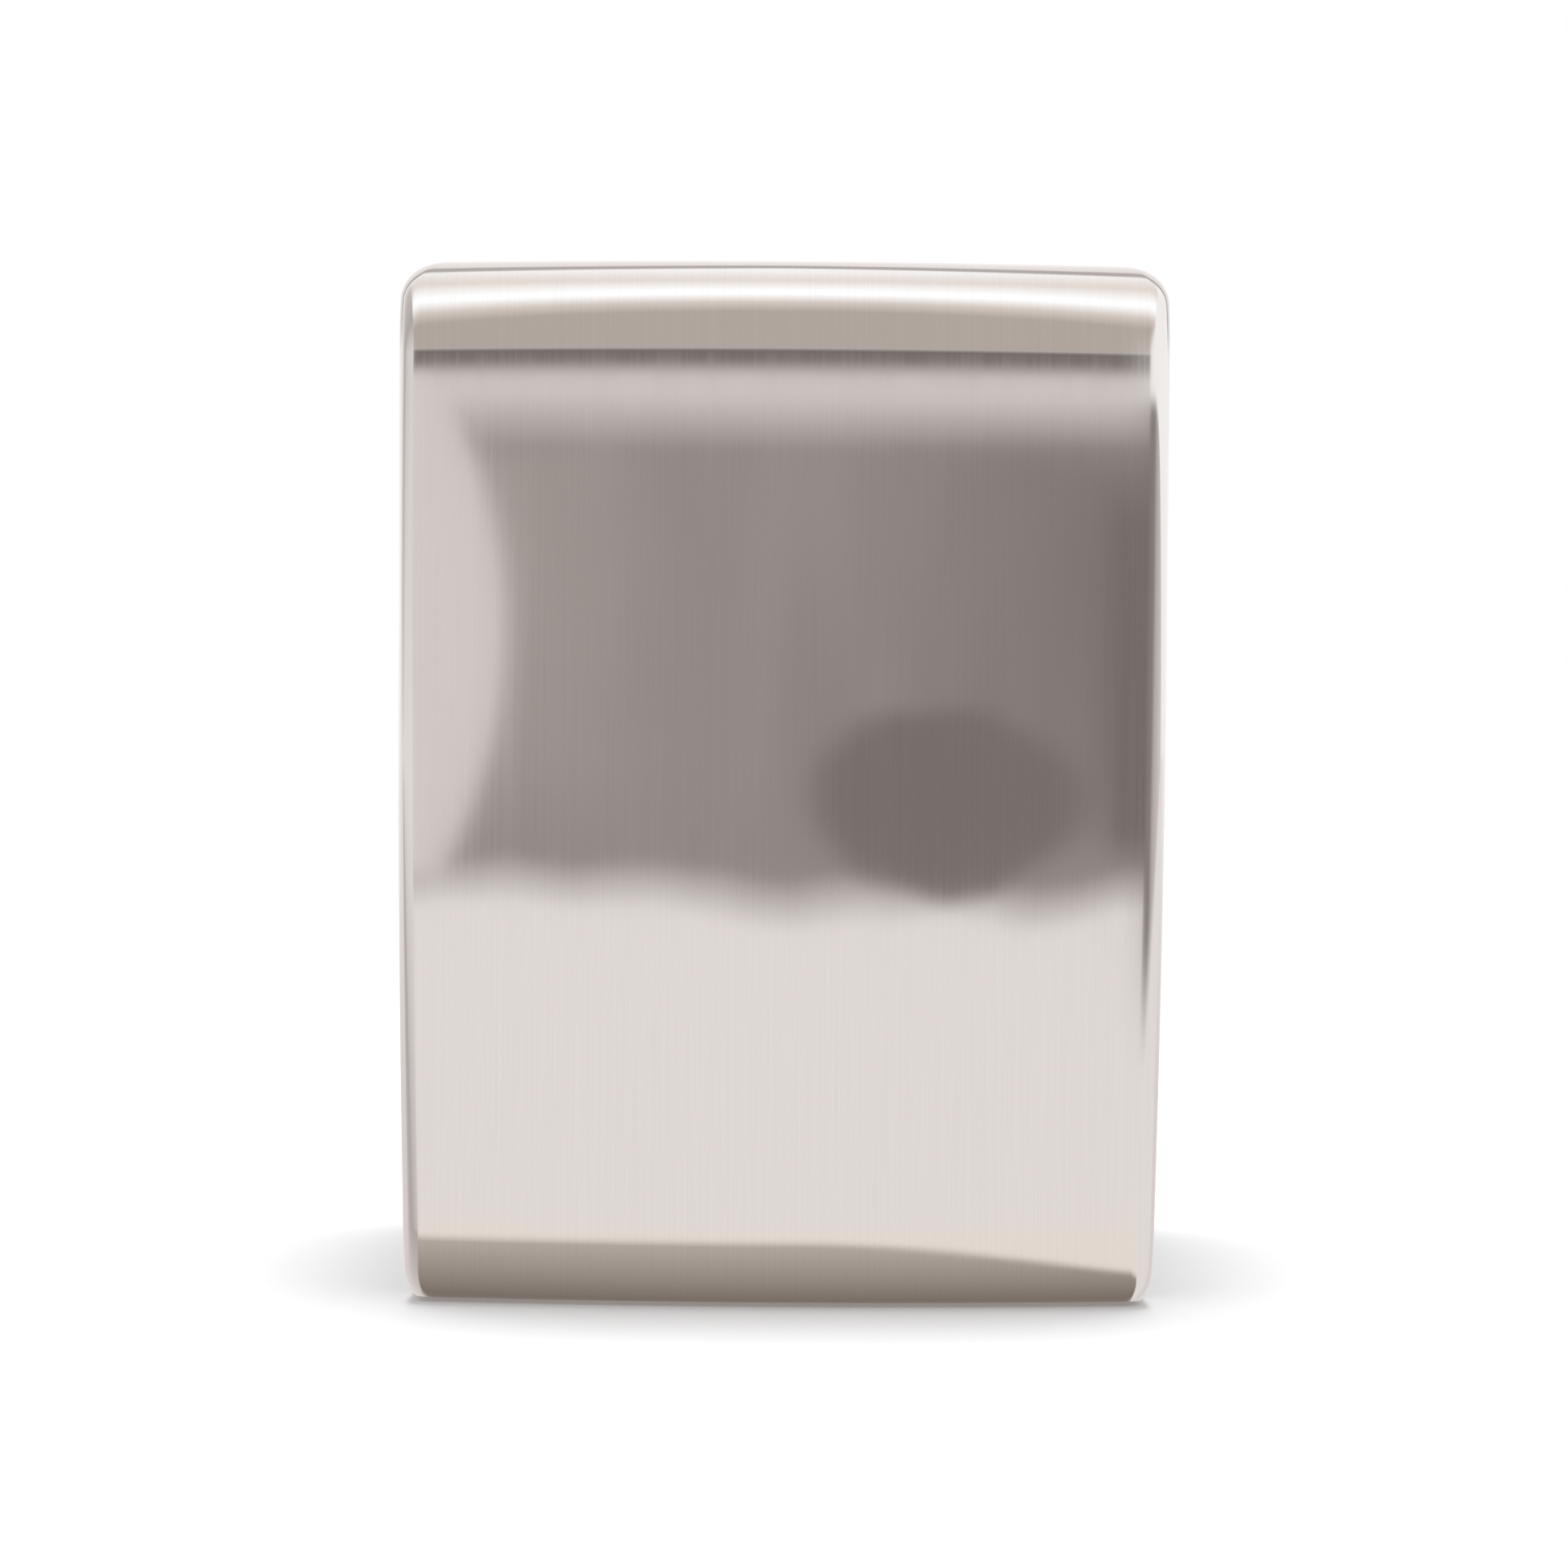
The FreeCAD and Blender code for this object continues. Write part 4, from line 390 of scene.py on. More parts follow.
def front_half_width(z, inset):
    """Half the front's width: tapered downwards, with round crown and toe corners."""
    half = FRONT["width"] / 2 - inset
    straight = FRONT["top"] - FRONT["roll"]
    if z < straight:
        half -= FRONT["taper"] * ((straight - z) / (straight - FRONT["tuck_height"])) ** 2
    crown = FRONT["crown"] - inset
    over = z - (FRONT["top"] - FRONT["crown"])
    if over > 0:
        half -= crown - math.sqrt(max(crown**2 - min(over, crown) ** 2, 0))
    toe = FRONT["toe_high"] - (z - FRONT["bottom"])
    if toe > 0:
        half -= FRONT["toe_wide"] * (1 - math.sqrt(1 - (toe / (FRONT["toe_high"] + FRONT["toe_ease"])) ** 2))
    return half


SIDE_STEPS, CORNER_STEPS, BOW_STEPS = 5, 14, 120
FRONT_MIDDLE = SIDE_STEPS + CORNER_STEPS + BOW_STEPS // 2


def front_ring(z, inset, back):
    """The shell's outline at a height, from back left round the front to back right, then along the back."""
    half = front_half_width(z, inset)
    face = FRONT["face"] + inset + front_recess(z, inset)
    rise = max(0.0, min(1.0, (z - FRONT["top"] + FRONT["roll"]) / FRONT["roll"]))
    edge = FRONT["edge"] - rise**2 * (FRONT["edge"] - FRONT["crown_edge"]) - inset
    bow = (FRONT["width"] ** 2 / 4 + FRONT["bow"] ** 2) / (2 * FRONT["bow"]) - inset
    corner_x = half - edge
    corner_y = face + bow - math.sqrt((bow - edge) ** 2 - corner_x**2)
    lean = math.asin(corner_x / (bow - edge))
    right = []
    for i in range(BOW_STEPS // 2 + 1):
        angle = lean * i / (BOW_STEPS // 2)
        right.append((bow * math.sin(angle), face + bow - bow * math.cos(angle)))
    for i in range(1, CORNER_STEPS + 1):
        angle = lean + (math.pi / 2 - lean) * i / CORNER_STEPS
        right.append((corner_x + edge * math.sin(angle), corner_y - edge * math.cos(angle)))
    for i in range(1, SIDE_STEPS + 1):
        right.append((half, corner_y + (back - corner_y) * i / SIDE_STEPS))
    window = min(WINDOW_HALF, half - WINDOW_MARGIN)
    across = [(window * (1 - 2 * i / WINDOW_STEPS), back) for i in range(WINDOW_STEPS + 1)]
    left = [(-x, y) for x, y in reversed(right[1:])]
    return [(x, y, z) for x, y in left + right + across]


def front_levels(low, high):
    """Heights of the rings. Both skins have the same number, and share those beside the window."""
    bend = FRONT["tuck_height"]
    tuck = [low + (WINDOW_LOW - low) * (i / TUCK_RINGS) ** TUCK_CROWDING for i in range(TUCK_RINGS)]
    lower = [WINDOW_LOW + (bend - WINDOW_LOW) * i / LOWER_RINGS for i in range(LOWER_RINGS)]
    face = [bend + (SPRING_LINE - bend) * i / FACE_RINGS for i in range(FACE_RINGS)]
    radius = FRONT["top"] - SPRING_LINE
    start = math.asin((WINDOW_HIGH - SPRING_LINE) / radius)
    roll = [SPRING_LINE + radius * math.sin(start * i / ROLL_RINGS) for i in range(ROLL_RINGS + 1)]
    radius = high - SPRING_LINE
    start = math.asin((WINDOW_HIGH - SPRING_LINE) / radius)
    crown = [SPRING_LINE + radius * math.sin(start + (math.pi / 2 - start) * i / CROWN_RINGS)
             for i in range(1, CROWN_RINGS + 1)]
    return tuck + lower + face + roll + crown


def build_front():
    """The shell's outer and inner skins, joined round the window in its back."""
    points, uvs, faces = [], [], []
    rings = []
    for inset in (0.0, FRONT["skin"]):
        back, low, high = FRONT["back"] - inset, FRONT["bottom"] + inset, FRONT["top"] - inset
        skin_rings = []
        climb, before = 0.0, None
        for z in front_levels(low, high):
            ring = front_ring(z, inset, back)
            middle = ring[FRONT_MIDDLE]
            climb += math.dist(middle, before) if before else 0.0
            before = middle
            runs = [0.0]
            for a, b in zip(ring, ring[1:]):
                runs.append(runs[-1] + math.dist(a, b))
            skin_rings.append([])
            for point, run in zip(ring, runs):
                skin_rings[-1].append(len(points))
                points.append(Vector(point) * MM)
                uvs.append(((run - runs[FRONT_MIDDLE]) * MM, climb * MM))
        rings.append(skin_rings)
    count = len(rings[0][0])
    first = count - WINDOW_STEPS - 1  # the first of the points across the window
    zs = front_levels(FRONT["bottom"], FRONT["top"])
    inside = [WINDOW_LOW - NEAR < a and b < WINDOW_HIGH + NEAR for a, b in zip(zs, zs[1:])]
    for skin_rings in rings:
        for level in range(len(zs) - 1):
            low_ring, high_ring = skin_rings[level], skin_rings[level + 1]
            for i in range(count):
                j = (i + 1) % count
                if inside[level] and first <= i < count - 1:
                    continue
                faces.append((low_ring[i], low_ring[j], high_ring[j], high_ring[i]))
        faces.append(tuple(reversed(skin_rings[0])))
        faces.append(tuple(skin_rings[-1]))
    open_levels = [i for i, gap in enumerate(inside) if gap]
    bottom, top = open_levels[0], open_levels[-1] + 1
    for i in range(first, count - 1):
        for level in (bottom, top):
            a, b = rings[0][level], rings[1][level]
            faces.append((a[i], a[i + 1], b[i + 1], b[i]))
    for level in open_levels:
        for i in (first, count - 1):
            a, b = rings[0], rings[1]
            faces.append((a[level][i], a[level + 1][i], b[level + 1][i], b[level][i]))
    piece("front_shell_pressed", points, faces, "drawer", "stainless_front", ["drawer_front_shell"],
          sharp=40, uvs=uvs)


build_front()


# ------------------------------------------------------------------ power screws and chain
SCREW_X, SCREW_Y = 184, -5
THREAD = {
    "low": 328, "high": 538, "major": 8, "root": 6.4, "pitch": 6, "starts": 2, "flank": 3.2, "root_flat": 0.3,
    "step": 0.75, "fade": 4, "around": 48,
}
SCREW_FOOT = [(314, 5.4), (314.6, 6), (THREAD["low"], 6)]  # heights and radii below the thread
SCREW_HEAD = [(THREAD["high"], 7), (556, 7), (556, 6), (579.4, 6), (580, 5.4)]  # and above it


def build_screw(side, name):
    """A journal, a two-start right-hand trapezoidal thread and the upper journals."""
    low, high, around = THREAD["low"], THREAD["high"], THREAD["around"]
    steps = int((high - low) / THREAD["step"])
    threaded = [(low + NEAR + (high - low - 2 * NEAR) * i / steps, None) for i in range(steps + 1)]
    heights = SCREW_FOOT + threaded + SCREW_HEAD
    points, faces = [], []
    for z, radius in heights:
        for i in range(around):
            angle = 2 * math.pi * i / around
            r = radius
            if r is None:
                phase = ((z - low) / THREAD["pitch"] - THREAD["starts"] * angle / (2 * math.pi)) % 1
                crest = THREAD["flank"] * (0.5 - abs(phase - 0.5)) - THREAD["root_flat"]
                crest = min(1.0, max(0.0, crest))
                fade = min(1.0, (z - low) / THREAD["fade"], (high - z) / THREAD["fade"])
                r = THREAD["root"] + (THREAD["major"] - THREAD["root"]) * crest * max(fade, 0)
            x, y = side * SCREW_X + r * math.cos(angle), SCREW_Y + r * math.sin(angle)
            points.append(Vector((x, y, z)) * MM)
    for level in range(len(heights) - 1):
        for i in range(around):
            j = (i + 1) % around
            a, b = level * around, (level + 1) * around
            faces.append((a + i, a + j, b + j, b + i))
    faces.append(tuple(reversed(range(around))))
    faces.append(tuple(range(len(points) - around, len(points))))
    piece(f"screw_thread_{name}", points, faces, f"screw_{name}", "bright_steel",
          [f"power_screw_{name}"], sharp=50)


build_screw(-1, "left")
build_screw(1, "right")


CHAIN = {
    "pitch": 9.525, "screw_teeth": 18, "jack_teeth": 9, "jack_y": 95, "plate_radius": 3.3, "waist": 2.3,
    "plate": 0.55, "stagger": 0.62, "low_plate": 569.4, "high_plate": 575.05, "roller_radius": 2.2,
    "pin_radius": 1.3, "low_pin": 568.3, "high_pin": 576.25, "pin_end": 0.45, "path_steps": 60,
    "plate_steps": 8, "roller_sides": 14, "pin_sides": 12,
}


def chain_path():
    """Places along the chain's pitch line round its three sprockets."""
    big, small = (CHAIN["pitch"] / (2 * math.sin(math.pi / CHAIN[teeth]))
                  for teeth in ("screw_teeth", "jack_teeth"))
    wheels = [(Vector((-SCREW_X, SCREW_Y)), big), (Vector((SCREW_X, SCREW_Y)), big),
              (Vector((0, CHAIN["jack_y"])), small)]
    steps = CHAIN["path_steps"]
    outs = []
    for i in range(3):
        (a, ra), (b, rb) = wheels[i], wheels[(i + 1) % 3]
        run = b - a
        outs.append(math.atan2(run.y, run.x) - math.pi / 2 + math.asin((ra - rb) / run.length))
    line = []
    for i in range(3):
        (a, ra), (b, rb) = wheels[i], wheels[(i + 1) % 3]
        normal = Vector((math.cos(outs[i]), math.sin(outs[i])))
        start, end = a + normal * ra, b + normal * rb
        line += [start.lerp(end, k / steps) for k in range(steps)]
        turn = (outs[(i + 1) % 3] - outs[i]) % (2 * math.pi)
        for k in range(steps):
            angle = outs[i] + turn * k / steps
            line.append(b + Vector((math.cos(angle), math.sin(angle))) * rb)
    return line


def circle(centre, radius, steps, start=0.0, turn=2 * math.pi):
    """Points round a circle, or along part of one with both its ends."""
    ends = 0 if turn == 2 * math.pi else 1
    angles = [start + turn * k / steps for k in range(steps + ends)]
    return [(centre.x + radius * math.cos(a), centre.y + radius * math.sin(a)) for a in angles]


def build_chain():
    """Links of two side plates, a roller and its pin's ends, laid along the pitch line."""
    line, pitch = chain_path(), CHAIN["pitch"]
    lengths = [0.0]
    for a, b in zip(line, line[1:] + line[:1]):
        lengths.append(lengths[-1] + (b - a).length)
    count = round(lengths[-1] / pitch / 2) * 2
    spots, k = [], 0
    for i in range(count):
        want = lengths[-1] * (i + 0.5) / count  # half a link on, so that the rollers sit between the teeth
        while lengths[k + 1] < want:
            k += 1
        share = (want - lengths[k]) / (lengths[k + 1] - lengths[k])
        spots.append(line[k].lerp(line[(k + 1) % len(line)], share))
    points, faces = [], []

    def prism(outline, low, high):
        base = len(points)
        points.extend(Vector((x, y, low)) * MM for x, y in outline)
        points.extend(Vector((x, y, high)) * MM for x, y in outline)
        n = len(outline)
        faces.append(tuple(range(base + n - 1, base - 1, -1)))
        faces.append(tuple(range(base + n, base + 2 * n)))
        for i in range(n):
            j = (i + 1) % n
            faces.append((base + i, base + j, base + n + j, base + n + i))

    for i in range(count):
        a, b = spots[i], spots[(i + 1) % count]
        ahead = (b - a).normalized()
        turn = math.atan2(ahead.y, ahead.x)
        middle = (a + b) / 2
        outline = []
        for centre, start in ((b, turn - math.pi / 2), (a, turn + math.pi / 2)):
            outline += circle(centre, CHAIN["plate_radius"], CHAIN["plate_steps"], start, math.pi)
            waist = CHAIN["waist"] if start > turn else -CHAIN["waist"]
            outline.append((middle.x - waist * ahead.y, middle.y + waist * ahead.x))
        shift = 0.0 if i % 2 else CHAIN["stagger"]
        for low in (CHAIN["low_plate"] - shift, CHAIN["high_plate"] + shift):
            prism(outline, low, low + CHAIN["plate"])
        roller = circle(a, CHAIN["roller_radius"], CHAIN["roller_sides"])
        prism(roller, CHAIN["low_plate"] + CHAIN["plate"] + NEAR, CHAIN["high_plate"] - NEAR)
        for low in (CHAIN["low_pin"], CHAIN["high_pin"]):
            prism(circle(a, CHAIN["pin_radius"], CHAIN["pin_sides"]), low, low + CHAIN["pin_end"])
    piece("roller_chain", points, faces, "cabinet", "chain_steel", ["drive_chain"], sharp=30)


build_chain()


# ------------------------------------------------------------------ screw heads
HEAD = {  # shares of the head's radius or height
    "rim": 0.45, "roundness": 3.2, "slot_half": 0.13, "slot_reach": 0.58, "slot_depth": 0.5, "tip": 0.42,
    "around": 40, "rings": 12,
}


def islands_of(node):
    """The points of each separate solid in a node, in the same order each run."""
    islands = []
    shaper = bmesh.new()
    shaper.from_mesh(NODES[node].data)
    bmesh.ops.remove_doubles(shaper, verts=shaper.verts, dist=1e-6)
    left = dict.fromkeys(shaper.verts)  # unlike a set, this keeps its order
    while left:
        stack, island = [left.popitem()[0]], []
        while stack:
            vert = stack.pop()
            island.append(vert.co.copy())
            for edge in vert.link_edges:
                other = edge.other_vert(vert)
                if other in left:
                    del left[other]
                    stack.append(other)
        islands.append(island)
    shaper.free()
    return islands


def build_heads(name, node, body, finish):
    """Pan heads with a cross recess, in place of a node's plain discs, which all face plus Y or plus Z."""
    points, faces = [], []
    around, rings = HEAD["around"], HEAD["rings"]
    for island in islands_of(node):
        low = Vector([min(p[i] for p in island) for i in range(3)])
        high = Vector([max(p[i] for p in island) for i in range(3)])
        size = high - low
        axis = min(range(3), key=lambda i: size[i])
        radius, tall = max(size) / 2, size[axis]
        base = (low + high) / 2
        base[axis] = low[axis]
        across = [i for i in range(3) if i != axis]

        def point(r, angle, height):
            at = base.copy()
            at[across[0]] += r * math.cos(angle)
            at[across[1]] += r * math.sin(angle)
            at[axis] += height
            return at

        start = len(points)
        points.extend(point(radius, 2 * math.pi * i / around, 0) for i in range(around))
        for k in range(rings):
            share = 1 - k / rings
            r = radius * share
            round_off = math.sqrt(max(0.0, 1 - share ** HEAD["roundness"]))
            dome = tall * (HEAD["rim"] + (1 - HEAD["rim"]) * round_off)
            for i in range(around):
                angle = 2 * math.pi * i / around
                x, y = abs(r * math.cos(angle)), abs(r * math.sin(angle))
                slot = min(x, y) < radius * HEAD["slot_half"] and max(x, y) < radius * HEAD["slot_reach"]
                points.append(point(r, angle, dome - (tall * HEAD["slot_depth"] if slot else 0)))
        tip = len(points)
        points.append(point(0, 0, tall * HEAD["tip"]))
        for k in range(rings):
            a, b = start + k * around, start + (k + 1) * around
            for i in range(around):
                j = (i + 1) % around
                faces.append((a + i, a + j, b + j, b + i))
        last = start + rings * around
        faces.extend((last + i, last + (i + 1) % around, tip) for i in range(around))
        faces.append(tuple(reversed(range(start, start + around))))
    piece(name, points, faces, body, finish, [node], sharp=38)


build_heads("pan_head_screws", "cabinet_screws", "cabinet", "fastener_steel")
build_heads("tray_pan_heads", "drawer_screws", "drawer", "fastener_steel")


# ------------------------------------------------------------------ buttons
SYMBOL = {"reach": 4.2, "corner": 0.7, "sunk": 0.1, "proud": 0.15, "bevel": 0.1}
TRIM = {"inner": 9.4, "outer": 11.0, "sunk": 0.1, "proud": 0.6, "bevel": 0.35, "steps": 64}
CORNER_HALF_STEPS = 3


def rounded_polygon(sides, reach, corner, turn):
    """An even polygon round the origin, with rounded corners."""
    points = []
    for k in range(sides):
        middle = turn + 2 * math.pi * k / sides
        for i in range(-CORNER_HALF_STEPS, CORNER_HALF_STEPS + 1):
            angle = middle + math.pi / sides * i / CORNER_HALF_STEPS
            points.append(((reach - corner) * math.cos(middle) + corner * math.cos(angle),
                           (reach - corner) * math.sin(middle) + corner * math.sin(angle)))
    return points


def build_symbol(name, node, sides, turn):
    """A raised symbol on a button's cap, which moves with the button."""
    low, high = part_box(node)
    x, y = (low[0] + high[0]) / 2, (low[1] + high[1]) / 2
    rings = []
    proud, bevel = SYMBOL["proud"], SYMBOL["bevel"]
    section = [(0, -SYMBOL["sunk"]), (0, proud - bevel), (bevel, proud)]
    for inset, rise in section:
        outline = rounded_polygon(sides, SYMBOL["reach"] - inset, SYMBOL["corner"], turn)
        rings.append([(x + MM * a, y + MM * b, high[2] + MM * rise) for a, b in outline])
    count = len(rings[0])
    faces = [tuple(reversed(range(count))), tuple(range(2 * count, 3 * count))]
    for r in range(2):
        for i in range(count):
            j = (i + 1) % count
            faces.append((r * count + i, r * count + j, (r + 1) * count + j, (r + 1) * count + i))
    piece(name, [point for ring in rings for point in ring], faces, node, "nylon")


def build_trim(name, node):
    """A bright ring on the control panel round a button."""
    low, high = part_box(node)
    x, y, top = (low[0] + high[0]) / 2, (low[1] + high[1]) / 2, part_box("control_panel")[1][2]
    inner, outer, proud, bevel = (TRIM[key] for key in ("inner", "outer", "proud", "bevel"))
    section = [(inner, -TRIM["sunk"]), (outer, -TRIM["sunk"]), (outer, proud - bevel), (outer - bevel, proud),
               (inner + bevel, proud), (inner, proud - bevel)]
    points, faces = [], []
    for i in range(TRIM["steps"]):
        angle = 2 * math.pi * i / TRIM["steps"]
        ahead, aside = math.cos(angle), math.sin(angle)
        points += [(x + MM * r * ahead, y + MM * r * aside, top + MM * z) for r, z in section]
    count = len(section)
    for i in range(TRIM["steps"]):
        here, there = i * count, (i + 1) % TRIM["steps"] * count
        for k in range(count):
            j = (k + 1) % count
            faces.append((here + k, here + j, there + j, there + k))
    piece(name, points, faces, "cabinet", "lock_chrome")


build_symbol("start_symbol", "start_button", 3, 0.0)
build_symbol("stop_symbol", "stop_button", 4, math.pi / 4)
for button in ("start_button", "stop_button"):
    build_trim(button + "_trim_ring", button)


# ------------------------------------------------------------------ studio
# The studio is plain: a floor, a room, a strip light, a wall and a soft box overhead. The steel mirrors it,
# so each surface is the grey that it leaves on the steel, from 0 to 255 on a display.
STEEL_MEAN = (0.645, 0.623, 0.600)
FLOOR, ROOM, STRIP, RAIL = 215, 135, 195, 105
WALL, SOFT_BOX, BACKDROP, SHADE = 165, 255, 200, 110
BRIGHT_WALL, BRIGHT_BACKDROP = 235, 240
NEUTRAL, WARM = (8, 0, -4), (11, 0, -8)
TINT_FADE = 45  # how far below the brightest grey the tint reaches its full strength
EVEN_LIGHT = (0.75, 0.75, 0.755)
CARD = {"side": 0.20, "level": -0.008, "half_wide": 0.16, "half_high": 0.036}

# By the angle about X: 0 looks level out of the front, and a quarter turn looks straight up.
AHEAD = [(-0.18, FLOOR), (-0.05, FLOOR), (-0.03, ROOM), (0.125, ROOM), (0.145, STRIP), (0.152, STRIP),
         (0.158, RAIL), (0.168, RAIL), (0.19, WALL), (0.24, WALL)]
OVERHEAD = [(0.24, WALL), (0.9, WALL), (1.1, BACKDROP), (1.3, SOFT_BOX), (1.4, SOFT_BOX), (1.7, FLOOR),
            (3.14, BACKDROP)]
UNDERNEATH = [(-3.14, FLOOR), (-1.4, SHADE), (-0.4, WALL), (-0.18, FLOOR)]


def studio(grey, tint=NEUTRAL):
    """The light that leaves this grey on the steel. The tint fades out towards white."""
    strength = min(1.0, (SOFT_BOX - grey) / TINT_FADE)
    tone = linear(*(grey + strength * t for t in tint))
    return tuple(c / s for c, s in zip(tone, STEEL_MEAN))


def build_world():
    """The studio as a world shader, by the direction that a mirrored ray takes."""
    world = bpy.data.worlds.new("studio")
    bpy.context.scene.world = world
    world.use_nodes = True
    graph = Graph(world.node_tree)
    way = graph.node("SeparateXYZ", {"Vector": graph.node("TexCoord").outputs["Generated"]})
    dx, dy, dz = way.outputs
    level = graph.math("ARCTAN2", dz, graph.math("MULTIPLY", dy, -1.0))
    side = graph.math("ARCSINE", dx)
    behind = graph.math("ARCCOSINE", dy)
    bow = graph.math("MULTIPLY", side, side)

    def tones(value, stops, tint=NEUTRAL):
        stops = [(at, studio(grey, tint)) for at, grey in stops]
        return graph.ramp(value, stops, stops[0][0], stops[-1][0])

    def times(*factors):
        product = factors[0]
        for factor in factors[1:]:
            product = graph.math("MULTIPLY", product, factor)
        return product

    # straight ahead; the strip light bows down at both ends, and the room is uneven and darker to the right
    sink = times(bow, -0.06, graph.step(level, 0.11, 0.13), graph.step(level, 0.24, 0.19))
    height = graph.math("ADD", level, sink)
    around = graph.node("CombineXYZ", {0: side, 1: level}).outputs[0]
    waver = graph.math("SUBTRACT", graph.noise(around, 5.0), 0.5)
    edge_waver = times(waver, 0.03, graph.step(level, -0.10, -0.06), graph.step(level, 0.02, -0.02))
    bands = tones(graph.math("ADD", height, edge_waver), AHEAD)
    patch = graph.math("SUBTRACT", graph.noise(around, 7.0, offset=(3, 1, 0), stretch=(1, 0.6, 1)), 0.5)
    uneven = graph.math("MULTIPLY_ADD", patch, 0.5, graph.math("MULTIPLY", side, -0.55))
    fall = times(uneven, graph.step(level, -0.05, 0.02), graph.step(level, 0.145, 0.118))
    gain = graph.math("ADD", fall, 1.0)
    grey_gain = graph.node("CombineXYZ", {0: gain, 1: gain, 2: gain}).outputs[0]
    bands = graph.mix(1.0, bands, grey_gain, "MULTIPLY")

    # a dark card in front, to the right of the middle
    a = graph.math("DIVIDE", graph.math("SUBTRACT", side, CARD["side"]), CARD["half_wide"])
    b = graph.math("DIVIDE", graph.math("SUBTRACT", level, CARD["level"]), CARD["half_high"])
    squares = graph.math("ADD", graph.math("MULTIPLY", a, a), graph.math("MULTIPLY", b, b))
    reach = graph.math("SQRT", squares)
    uneven_reach = graph.math("MULTIPLY_ADD", waver, 0.9, reach)
    bands = graph.mix(graph.step(uneven_reach, 1.15, 0.85), bands, studio(SHADE))

    # a tall white flat on the left, whose edge bows away above and below
    from_middle = graph.math("SUBTRACT", level, 0.06)
    bulge = graph.math("MULTIPLY_ADD", graph.math("MULTIPLY", from_middle, from_middle), 8.0, side)
    flat = times(graph.step(bulge, -0.30, -0.325), graph.step(level, -0.045, -0.030),
                 graph.step(height, 0.157, 0.151))
    bands = graph.mix(flat, bands, studio(BACKDROP))

    # overhead, where the soft box curves down at its ends
    curved = times(graph.math("MINIMUM", bow, 0.2), 1.6, graph.step(level, 0.22, 0.32),
                   graph.step(level, 2.1, 1.6))
    upper = tones(graph.math("ADD", level, curved), OVERHEAD, WARM)

    # underneath, where the floor is lit on the right
    lower = tones(level, UNDERNEATH, WARM)
    right_bow = graph.math("MULTIPLY", bow, graph.step(side, 0.0, 0.1))
    edge = graph.math("MULTIPLY_ADD", right_bow, -5.0, -0.3)
    lit = graph.step(graph.math("SUBTRACT", level, edge), -0.12, 0.12)
    lower = graph.mix(lit, lower, studio(FLOOR, WARM))
    bands = graph.mix(graph.step(level, 0.225, 0.235), bands, upper)
    bands = graph.mix(graph.step(level, -0.165, -0.18), bands, lower)

    # to the right a dark flag, then pale walls on both sides
    flag = times(graph.step(side, 0.355, 0.385), graph.step(level, -0.035, -0.015),
                 graph.step(level, 0.128, 0.098))
    bands = graph.mix(flag, bands, studio(RAIL))
    right = tones(side, [(0.40, SHADE), (0.70, WALL), (1.57, BACKDROP)])
    right = graph.mix(graph.step(level, -0.055, -0.12), right, studio(FLOOR))
    right = graph.mix(graph.step(height, 0.139, 0.150), right, studio(BRIGHT_WALL))
    bands = graph.mix(graph.step(side, 0.40, 0.44), bands, right)
    left = tones(level, [(-3.14, FLOOR), (-0.30, WALL), (0.0, FLOOR), (0.8, WALL), (3.14, FLOOR)])
    bands = graph.mix(graph.step(side, -0.43, -0.56), bands, left)

    # behind: a pale backdrop with a darker gap above it
    far = graph.mix(graph.step(dz, -0.10, 0.05), studio(BACKDROP), studio(BRIGHT_BACKDROP))
    bands = graph.mix(graph.step(behind, 1.55, 1.0), bands, far)
    spread = graph.math("MINIMUM", graph.math("ABSOLUTE", side), 0.25)
    gap = graph.math("SUBTRACT", behind, graph.math("MULTIPLY_ADD", spread, 0.9, 0.85))
    above = graph.step(dz, 0.05, 0.30)
    bands = graph.mix(times(graph.step(gap, 0.13, 0.05), above), bands, studio(WALL))
    bands = graph.mix(times(graph.step(gap, -0.04, -0.12), above), bands, studio(FLOOR))

    # only glossy rays see the studio: matt surfaces get an even grey light, and the camera sees white
    path = graph.node("LightPath")
    seen = graph.mix(path.outputs["Is Camera Ray"], EVEN_LIGHT, (1.0, 1.0, 1.0))
    colour = graph.mix(path.outputs["Is Glossy Ray"], seen, bands)
    background = graph.node("Background", {"Color": colour, "Strength": 1.0})
    graph.node("OutputWorld", {"Surface": background.outputs[0]})


build_world()


def build_floor():
    """A plain pale floor that reaches out of sight."""
    mesh = bpy.data.meshes.new("studio_floor")
    reach = 30.0
    corners = [(-reach, -reach, 0), (reach, -reach, 0), (reach, reach, 0), (-reach, reach, 0)]
    mesh.from_pydata(corners, [], [(0, 1, 2, 3)])
    floor = bpy.data.objects.new("studio_floor", mesh)
    bpy.context.scene.collection.objects.link(floor)

    def build(graph, shader):
        cloud = graph.noise(place(graph), 3.0, 3.0)
        graph.feed(shader.inputs["Base Color"], graph.mix(cloud, (0.90, 0.90, 0.90), (0.93, 0.93, 0.93)))
        shader.inputs["Roughness"].default_value = 0.9
        shader.inputs["Specular IOR Level"].default_value = 0.0
    mesh.materials.append(material("studio_floor", build))
    floor.visible_glossy = False


build_floor()


SUN = {"energy": 1.95, "spread": 27, "from_behind": 10, "place": (0, 0.5, 3)}
CAMERA = {"sensor": 36.0, "lens": 98.2, "place": (0.0014, -2.760, 0.3085), "roll": -0.4}


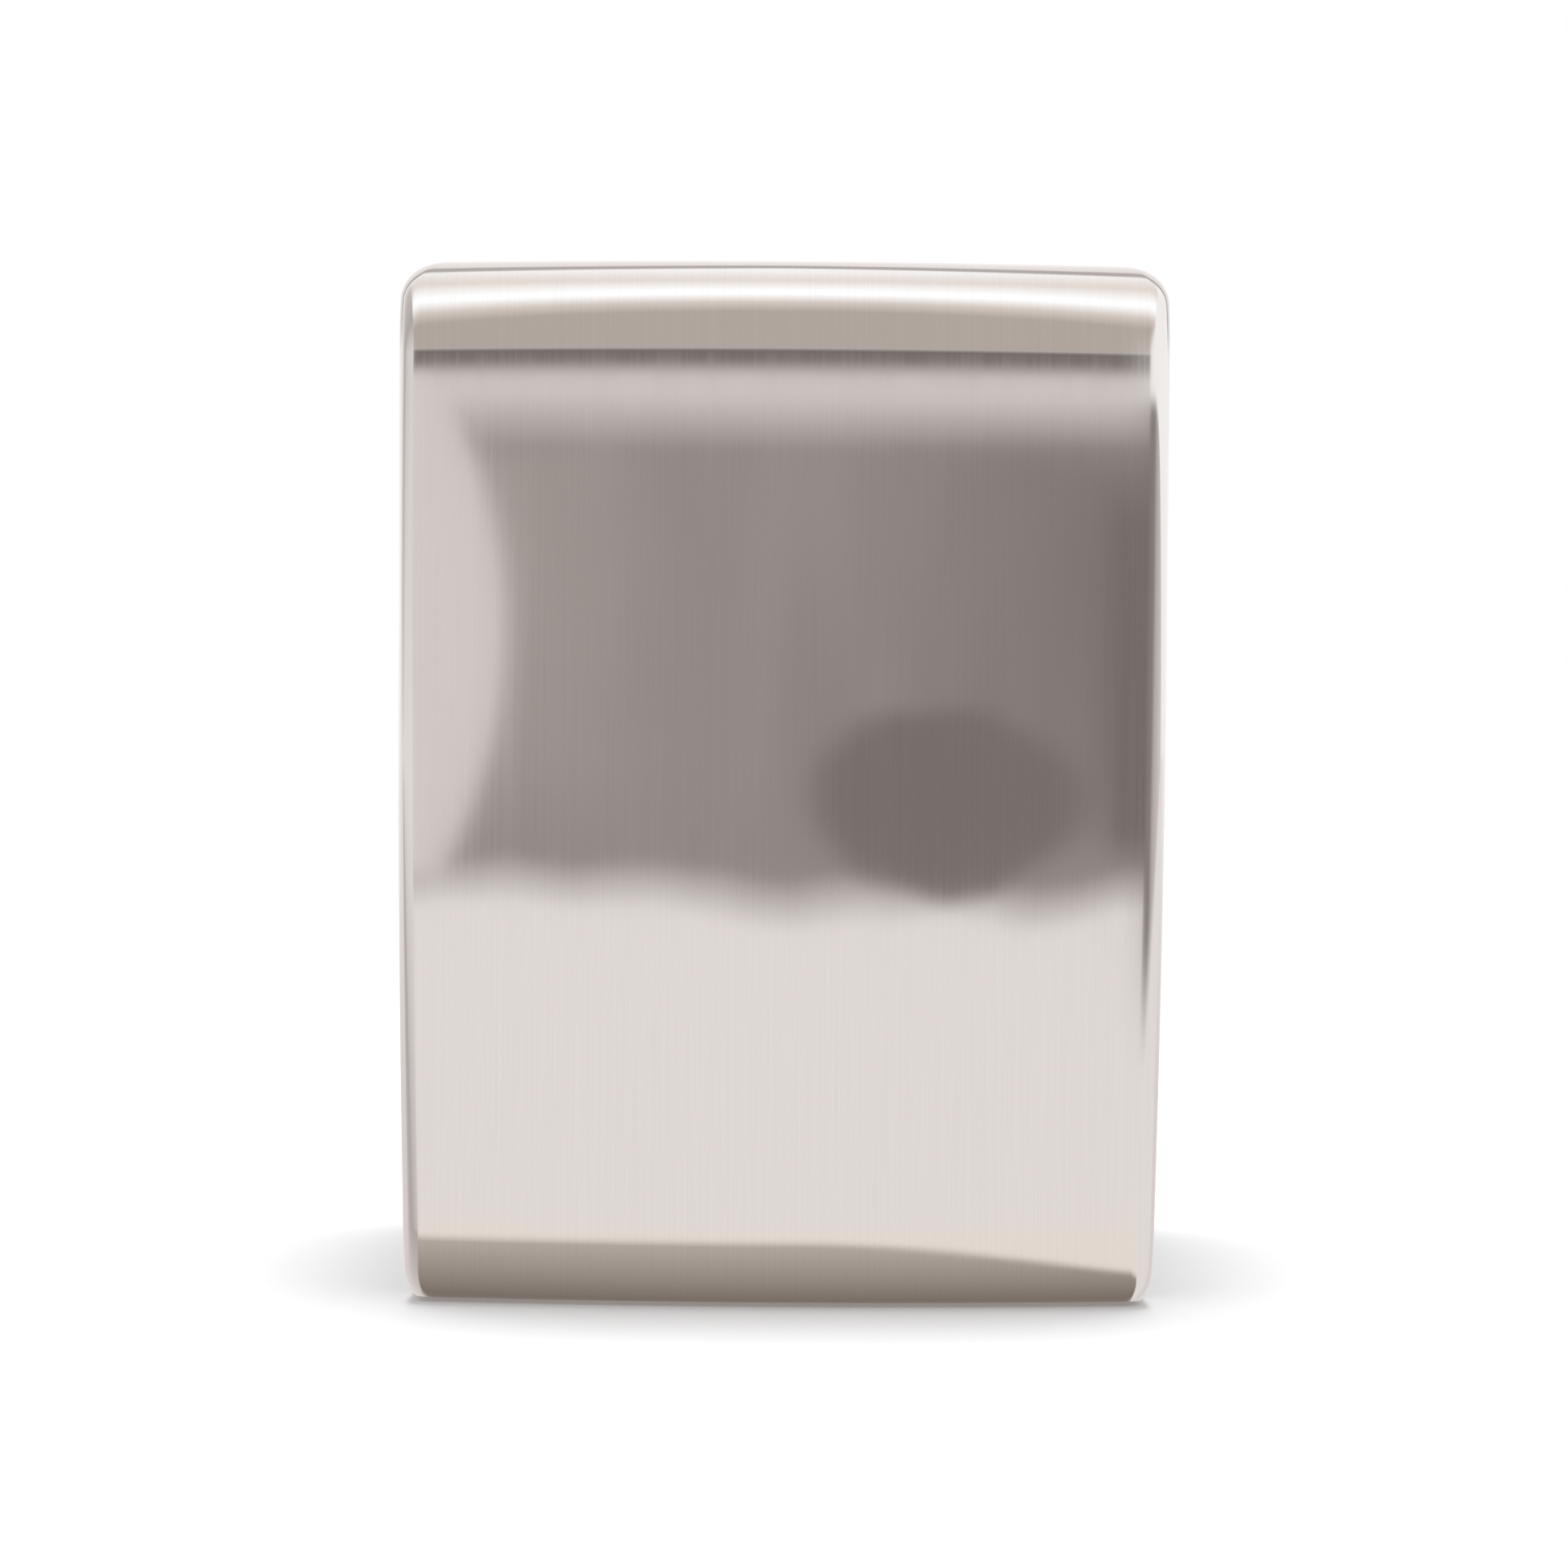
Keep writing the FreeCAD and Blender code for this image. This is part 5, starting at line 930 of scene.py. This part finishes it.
def build_sun():
    """A wide soft light high up and a little behind, so the shadow falls forward on the floor."""
    data = bpy.data.lights.new("overhead", "SUN")
    data.energy = SUN["energy"]
    data.angle = math.radians(SUN["spread"])
    light = bpy.data.objects.new("overhead", data)
    shining = Vector((0, -math.sin(math.radians(SUN["from_behind"])), -1))
    light.rotation_euler = shining.to_track_quat("-Z", "Y").to_euler()
    light.location = SUN["place"]
    light.visible_glossy = False
    bpy.context.scene.collection.objects.link(light)


build_sun()


def build_camera():
    """A long lens, level and straight in front."""
    data = bpy.data.cameras.new("camera")
    data.sensor_width = CAMERA["sensor"]
    data.lens = CAMERA["lens"]
    camera = bpy.data.objects.new("camera", data)
    camera.location = CAMERA["place"]
    camera.rotation_euler = (math.radians(90), math.radians(CAMERA["roll"]), 0)
    bpy.context.scene.collection.objects.link(camera)
    bpy.context.scene.camera = camera


build_camera()
bpy.context.scene.view_settings.view_transform = "Standard"
